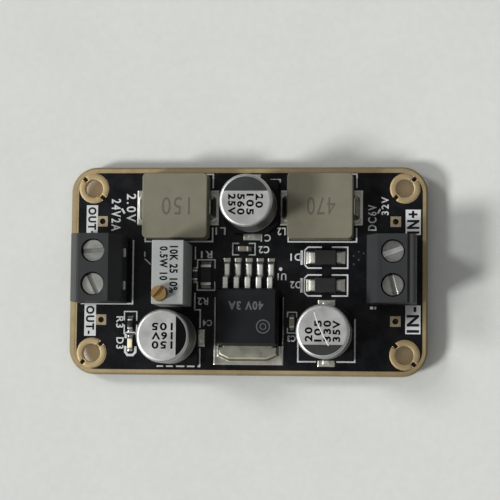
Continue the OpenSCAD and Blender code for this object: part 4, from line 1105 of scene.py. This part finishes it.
def letters(words, centre, height, length, turn, weight=0.05, gap=1.12):
    """The outlines of some words, fitted to a height and a length, turned by degrees about their centre."""
    font = bpy.data.curves.new("letters", "FONT")
    font.body = words
    font.space_character = gap
    holder = bpy.data.objects.new("letters", font)
    scene.collection.objects.link(holder)
    curve = holder.to_curve(bpy.context.evaluated_depsgraph_get())
    loops = []
    for spline in curve.splines:
        knots = spline.bezier_points
        loop = []
        for i, knot in enumerate(knots):
            after = knots[(i + 1) % len(knots)]
            bend = (knot.co, knot.handle_right, after.handle_left, after.co)
            loop += [p.to_2d() for p in geometry.interpolate_bezier(*bend, CURVE_POINTS)[:-1]]
        loops.append([p for i, p in enumerate(loop) if (p - loop[i - 1]).length > SAME_POINT])
    holder.to_curve_clear()
    bpy.data.objects.remove(holder)
    points = [p for loop in loops for p in loop]
    low = Vector((min(p.x for p in points), min(p.y for p in points)))
    high = Vector((max(p.x for p in points), max(p.y for p in points)))
    size = high - low
    spin = Matrix.Rotation(math.radians(turn), 2)
    fit = Vector((length / size.x, height / size.y))
    placed = [[spin @ ((p - (low + high) / 2) * fit) + Vector(centre) for p in loop] for loop in loops]
    return fatten(placed, weight) if weight else placed


print("a zero is made of", len(letters("0", (0, 0), height=1, length=1, turn=0)), "outlines")


# %% [markdown]
# The words are plain: ratings beside the terminal blocks and a letter with a number for each part. A V
# leans towards its neighbours, so words with one are set wider. They could be placed from the parts, like
# the outlines, but words stand where there is room for them, so their places are typed in.

# %% Words on the board
WORD_WEIGHT, WORD_GAP, WORD_GAP_V = 0.03, 1.12, 1.3
# The word, its middle in millimetres, height, length and turn in degrees
WORDS = [
    ("2.0V", (-18.15, 9.7), 1.4, 4.3, -90), ("24V2A", (-20.5, 8.6), 1.4, 4.9, -90),
    ("-", (-19.4, 9.2), 0.25, 0.8, -60), ("DC6V", (19.03, 8.2), 1.25, 3.9, 90),
    ("32V", (20.97, 10.0), 1.05, 2.7, 90), ("-", (20.05, 9.2), 0.22, 0.7, 60),
    ("L1", (-4.24, 6.13), 1.1, 1.5, 180), ("L2", (5.15, 6.08), 1.1, 1.2, 180),
    ("R1", (-6.33, 2.49), 1.05, 1.7, 180), ("R2", (-6.83, -4.69), 1.05, 1.6, 180),
    ("C1", (2.75, 5.07), 1.05, 1.5, 180), ("C2", (2.5, 3.27), 1.05, 1.6, 180),
    ("R3", (-19.65, -7.95), 1.1, 1.7, -90), ("D3", (-19.6, -11.18), 1.1, 1.7, -90),
    ("C3", (6.84, -10.3), 0.9, 1.2, 180), ("U1", (5.29, -0.86), 1.0, 1.3, 180),
    ("D1", (7.4, 2.15), 1.05, 1.6, 180), ("D2", (7.4, -2.1), 1.05, 1.6, 180),
    ("C4", (-6.1, -8.0), 0.9, 1.4, 180),
]
words = []
for text, centre, height, length, turn in WORDS:
    words += letters(text, centre, height, length, turn, WORD_WEIGHT, WORD_GAP_V if "V" in text else WORD_GAP)
piece("printed_words", sheet(words, MASK_TOP, INK_TOP), "white_ink")
print(len(WORDS), "words")


# %% [markdown]
# The four wire places are named on white labels, with the letters left open so that the black mask shows.
# Black letters on white would look the same, but the real label is one printing.

# %% Labels with knocked-out letters
LABEL_LENGTH, LABEL_GAP = 0.86, 1.25
# The word, the label's low and high corner, its turn, the letters' share of the width, and their weight
LABELS = [
    ("OUT+", (-25.12, 5.0, -23.36, 10.1), -90, 0.66, 0.07),
    ("OUT-", (-25.2, -10.1, -23.4, -5.2), -90, 0.66, 0.07),
    ("IN+", (24.1, 5.6, 26.4, 9.45), 90, 0.74, 0.09),
    ("IN-", (24.1, -9.5, 26.4, -5.15), 90, 0.74, 0.09),
]
for text, (x0, y0, x1, y1), turn, tall, weight in LABELS:
    centre = ((x0 + x1) / 2, (y0 + y1) / 2)
    cut = letters(text, centre, (x1 - x0) * tall, (y1 - y0) * LABEL_LENGTH, turn, weight, LABEL_GAP)
    label = [(x0, y0), (x1, y0), (x1, y1), (x0, y1)]
    name = "label_" + text.replace("+", "_positive").replace("-", "_negative").lower()
    piece(name, sheet([label] + cut, MASK_TOP, INK_TOP), "white_ink")
print(len(LABELS), "labels")


# %% [markdown]
# Each can carries a dark segment on its negative side and plain value numbers, pad printed on the flat top.
# The segment's straight edge is a chord, and the numbers stand in rows that start from it. A picture on the
# can would carry both, but it gets coarse from close by, and thin sheets stay sharp.

# %% Printing on the cans
PRINT = 0.01               # thickness
CURL = 0.42                # the can's rounded shoulder, which stays bare
ARC_STEPS = 32
ROW, DIGIT, DIGIT_WIDTH = 1.36, 1.02, 1.0
DIGIT_WEIGHT, DIGIT_GAP = 0.06, 1.2
FROM_CHORD = 0.5
# The can, the side of its segment, the chord's distance, the ink, the numbers and their turn
CANS = [
    ("middle_capacitor_can", 90, 1.42, "segment_ink", ("20", "105", "560", "25V"), -90),
    ("input_capacitor_can", -90, 2.0, "segment_ink", ("20", "105", "330", "35V"), 90),
    ("output_capacitor_can", 0, 2.0, "black_ink", ("150", "16V", "105"), 180),
]
for name, side, chord, ink, values, turn in CANS:
    low, high = span(name)
    c = ((low + high) / 2).to_2d()
    flat = (high.x - low.x) / 2 - CURL
    swing = math.acos(chord / flat)
    arc = [math.radians(side) - swing + 2 * swing * i / ARC_STEPS for i in range(ARC_STEPS + 1)]
    segment = [(c.x + flat * math.cos(a), c.y + flat * math.sin(a)) for a in arc]
    piece(name + "_segment", sheet([segment], high.z, high.z + PRINT), ink)
    to_segment = Matrix.Rotation(math.radians(side), 2) @ Vector((1, 0))
    right = Matrix.Rotation(math.radians(turn), 2) @ Vector((1, 0))
    down = Matrix.Rotation(math.radians(turn), 2) @ Vector((0, -1))
    numbers = []
    for row, text in enumerate(values):
        length = DIGIT_WIDTH * len(text)
        start = to_segment * (chord - FROM_CHORD) - right * to_segment.dot(right) * length / 2
        place = c + start + down * (ROW * (row - (len(values) - 1) / 2))
        numbers += letters(text, place, DIGIT, length, turn, DIGIT_WEIGHT, DIGIT_GAP)
    piece(name + "_numbers", sheet(numbers, high.z, high.z + PRINT), "black_ink")
print(len(CANS), "cans printed")


# %% [markdown]
# The inductors are marked with thin engraved digits, and the trimmer and the regulator with plain ratings.
# An ejector pin left two rings on the regulator's body, and something sharp scratched the input can. All of
# these are finer than the solids need, so they are thin sheets as well.

# %% Marks on the inductors, the trimmer and the regulator
def mark(name, loops, on, ink, layers=1):
    """Lays a thin sheet on top of a node."""
    top = span(on)[1].z
    piece(name, sheet(loops, top, top + layers * PRINT), ink)


for name, text in (("output_inductor_body", "150"), ("input_inductor_body", "470")):
    c = middle(name)
    digits = letters(text, (c.x + 0.2, c.y - 0.1), height=2.7, length=4.3, turn=180, weight=0)
    mark(name + "_digits", digits, name, "engraving")
c = middle("trimmer_housing")
rating = letters("10K 25 10%", (c.x + 0.91, c.y + 0.36), height=1.15, length=6.9, turn=-90)
rating += letters("0.5W 10", (c.x - 0.6, c.y + 1.27), height=1.1, length=4.95, turn=-90, gap=1.2)
mark("trimmer_rating", rating, "trimmer_housing", "black_ink")
c = middle("regulator_body")
rating = letters("40V 3A", (c.x, c.y + 1.6), height=1.2, length=5.2, turn=180, gap=1.2)
mark("regulator_rating", rating, "regulator_body", "grey_ink")
EJECTOR_AT, EJECTOR_RINGS = (2.6, -1.55), (1.05, 0.9, 0.5, 0.38)
ejector = [ring(c.x + EJECTOR_AT[0], c.y + EJECTOR_AT[1], radius) for radius in EJECTOR_RINGS]
mark("regulator_ejector_mark", ejector, "regulator_body", "grey_ink")
c = middle("input_capacitor_can")
SCRATCH, SCRATCH_WIDTH = [(-1.28, 2.76), (-0.7, 0.95), (0.1, -0.7), (0.88, -2.14)], 0.13
scratch = stroke([(c.x + x, c.y + y) for x, y in SCRATCH], SCRATCH_WIDTH)
mark("input_capacitor_scratch", [scratch], "input_capacitor_can", "scratched_aluminium",
     layers=2)
print("digits, ratings, the ejector's rings and a scratch")
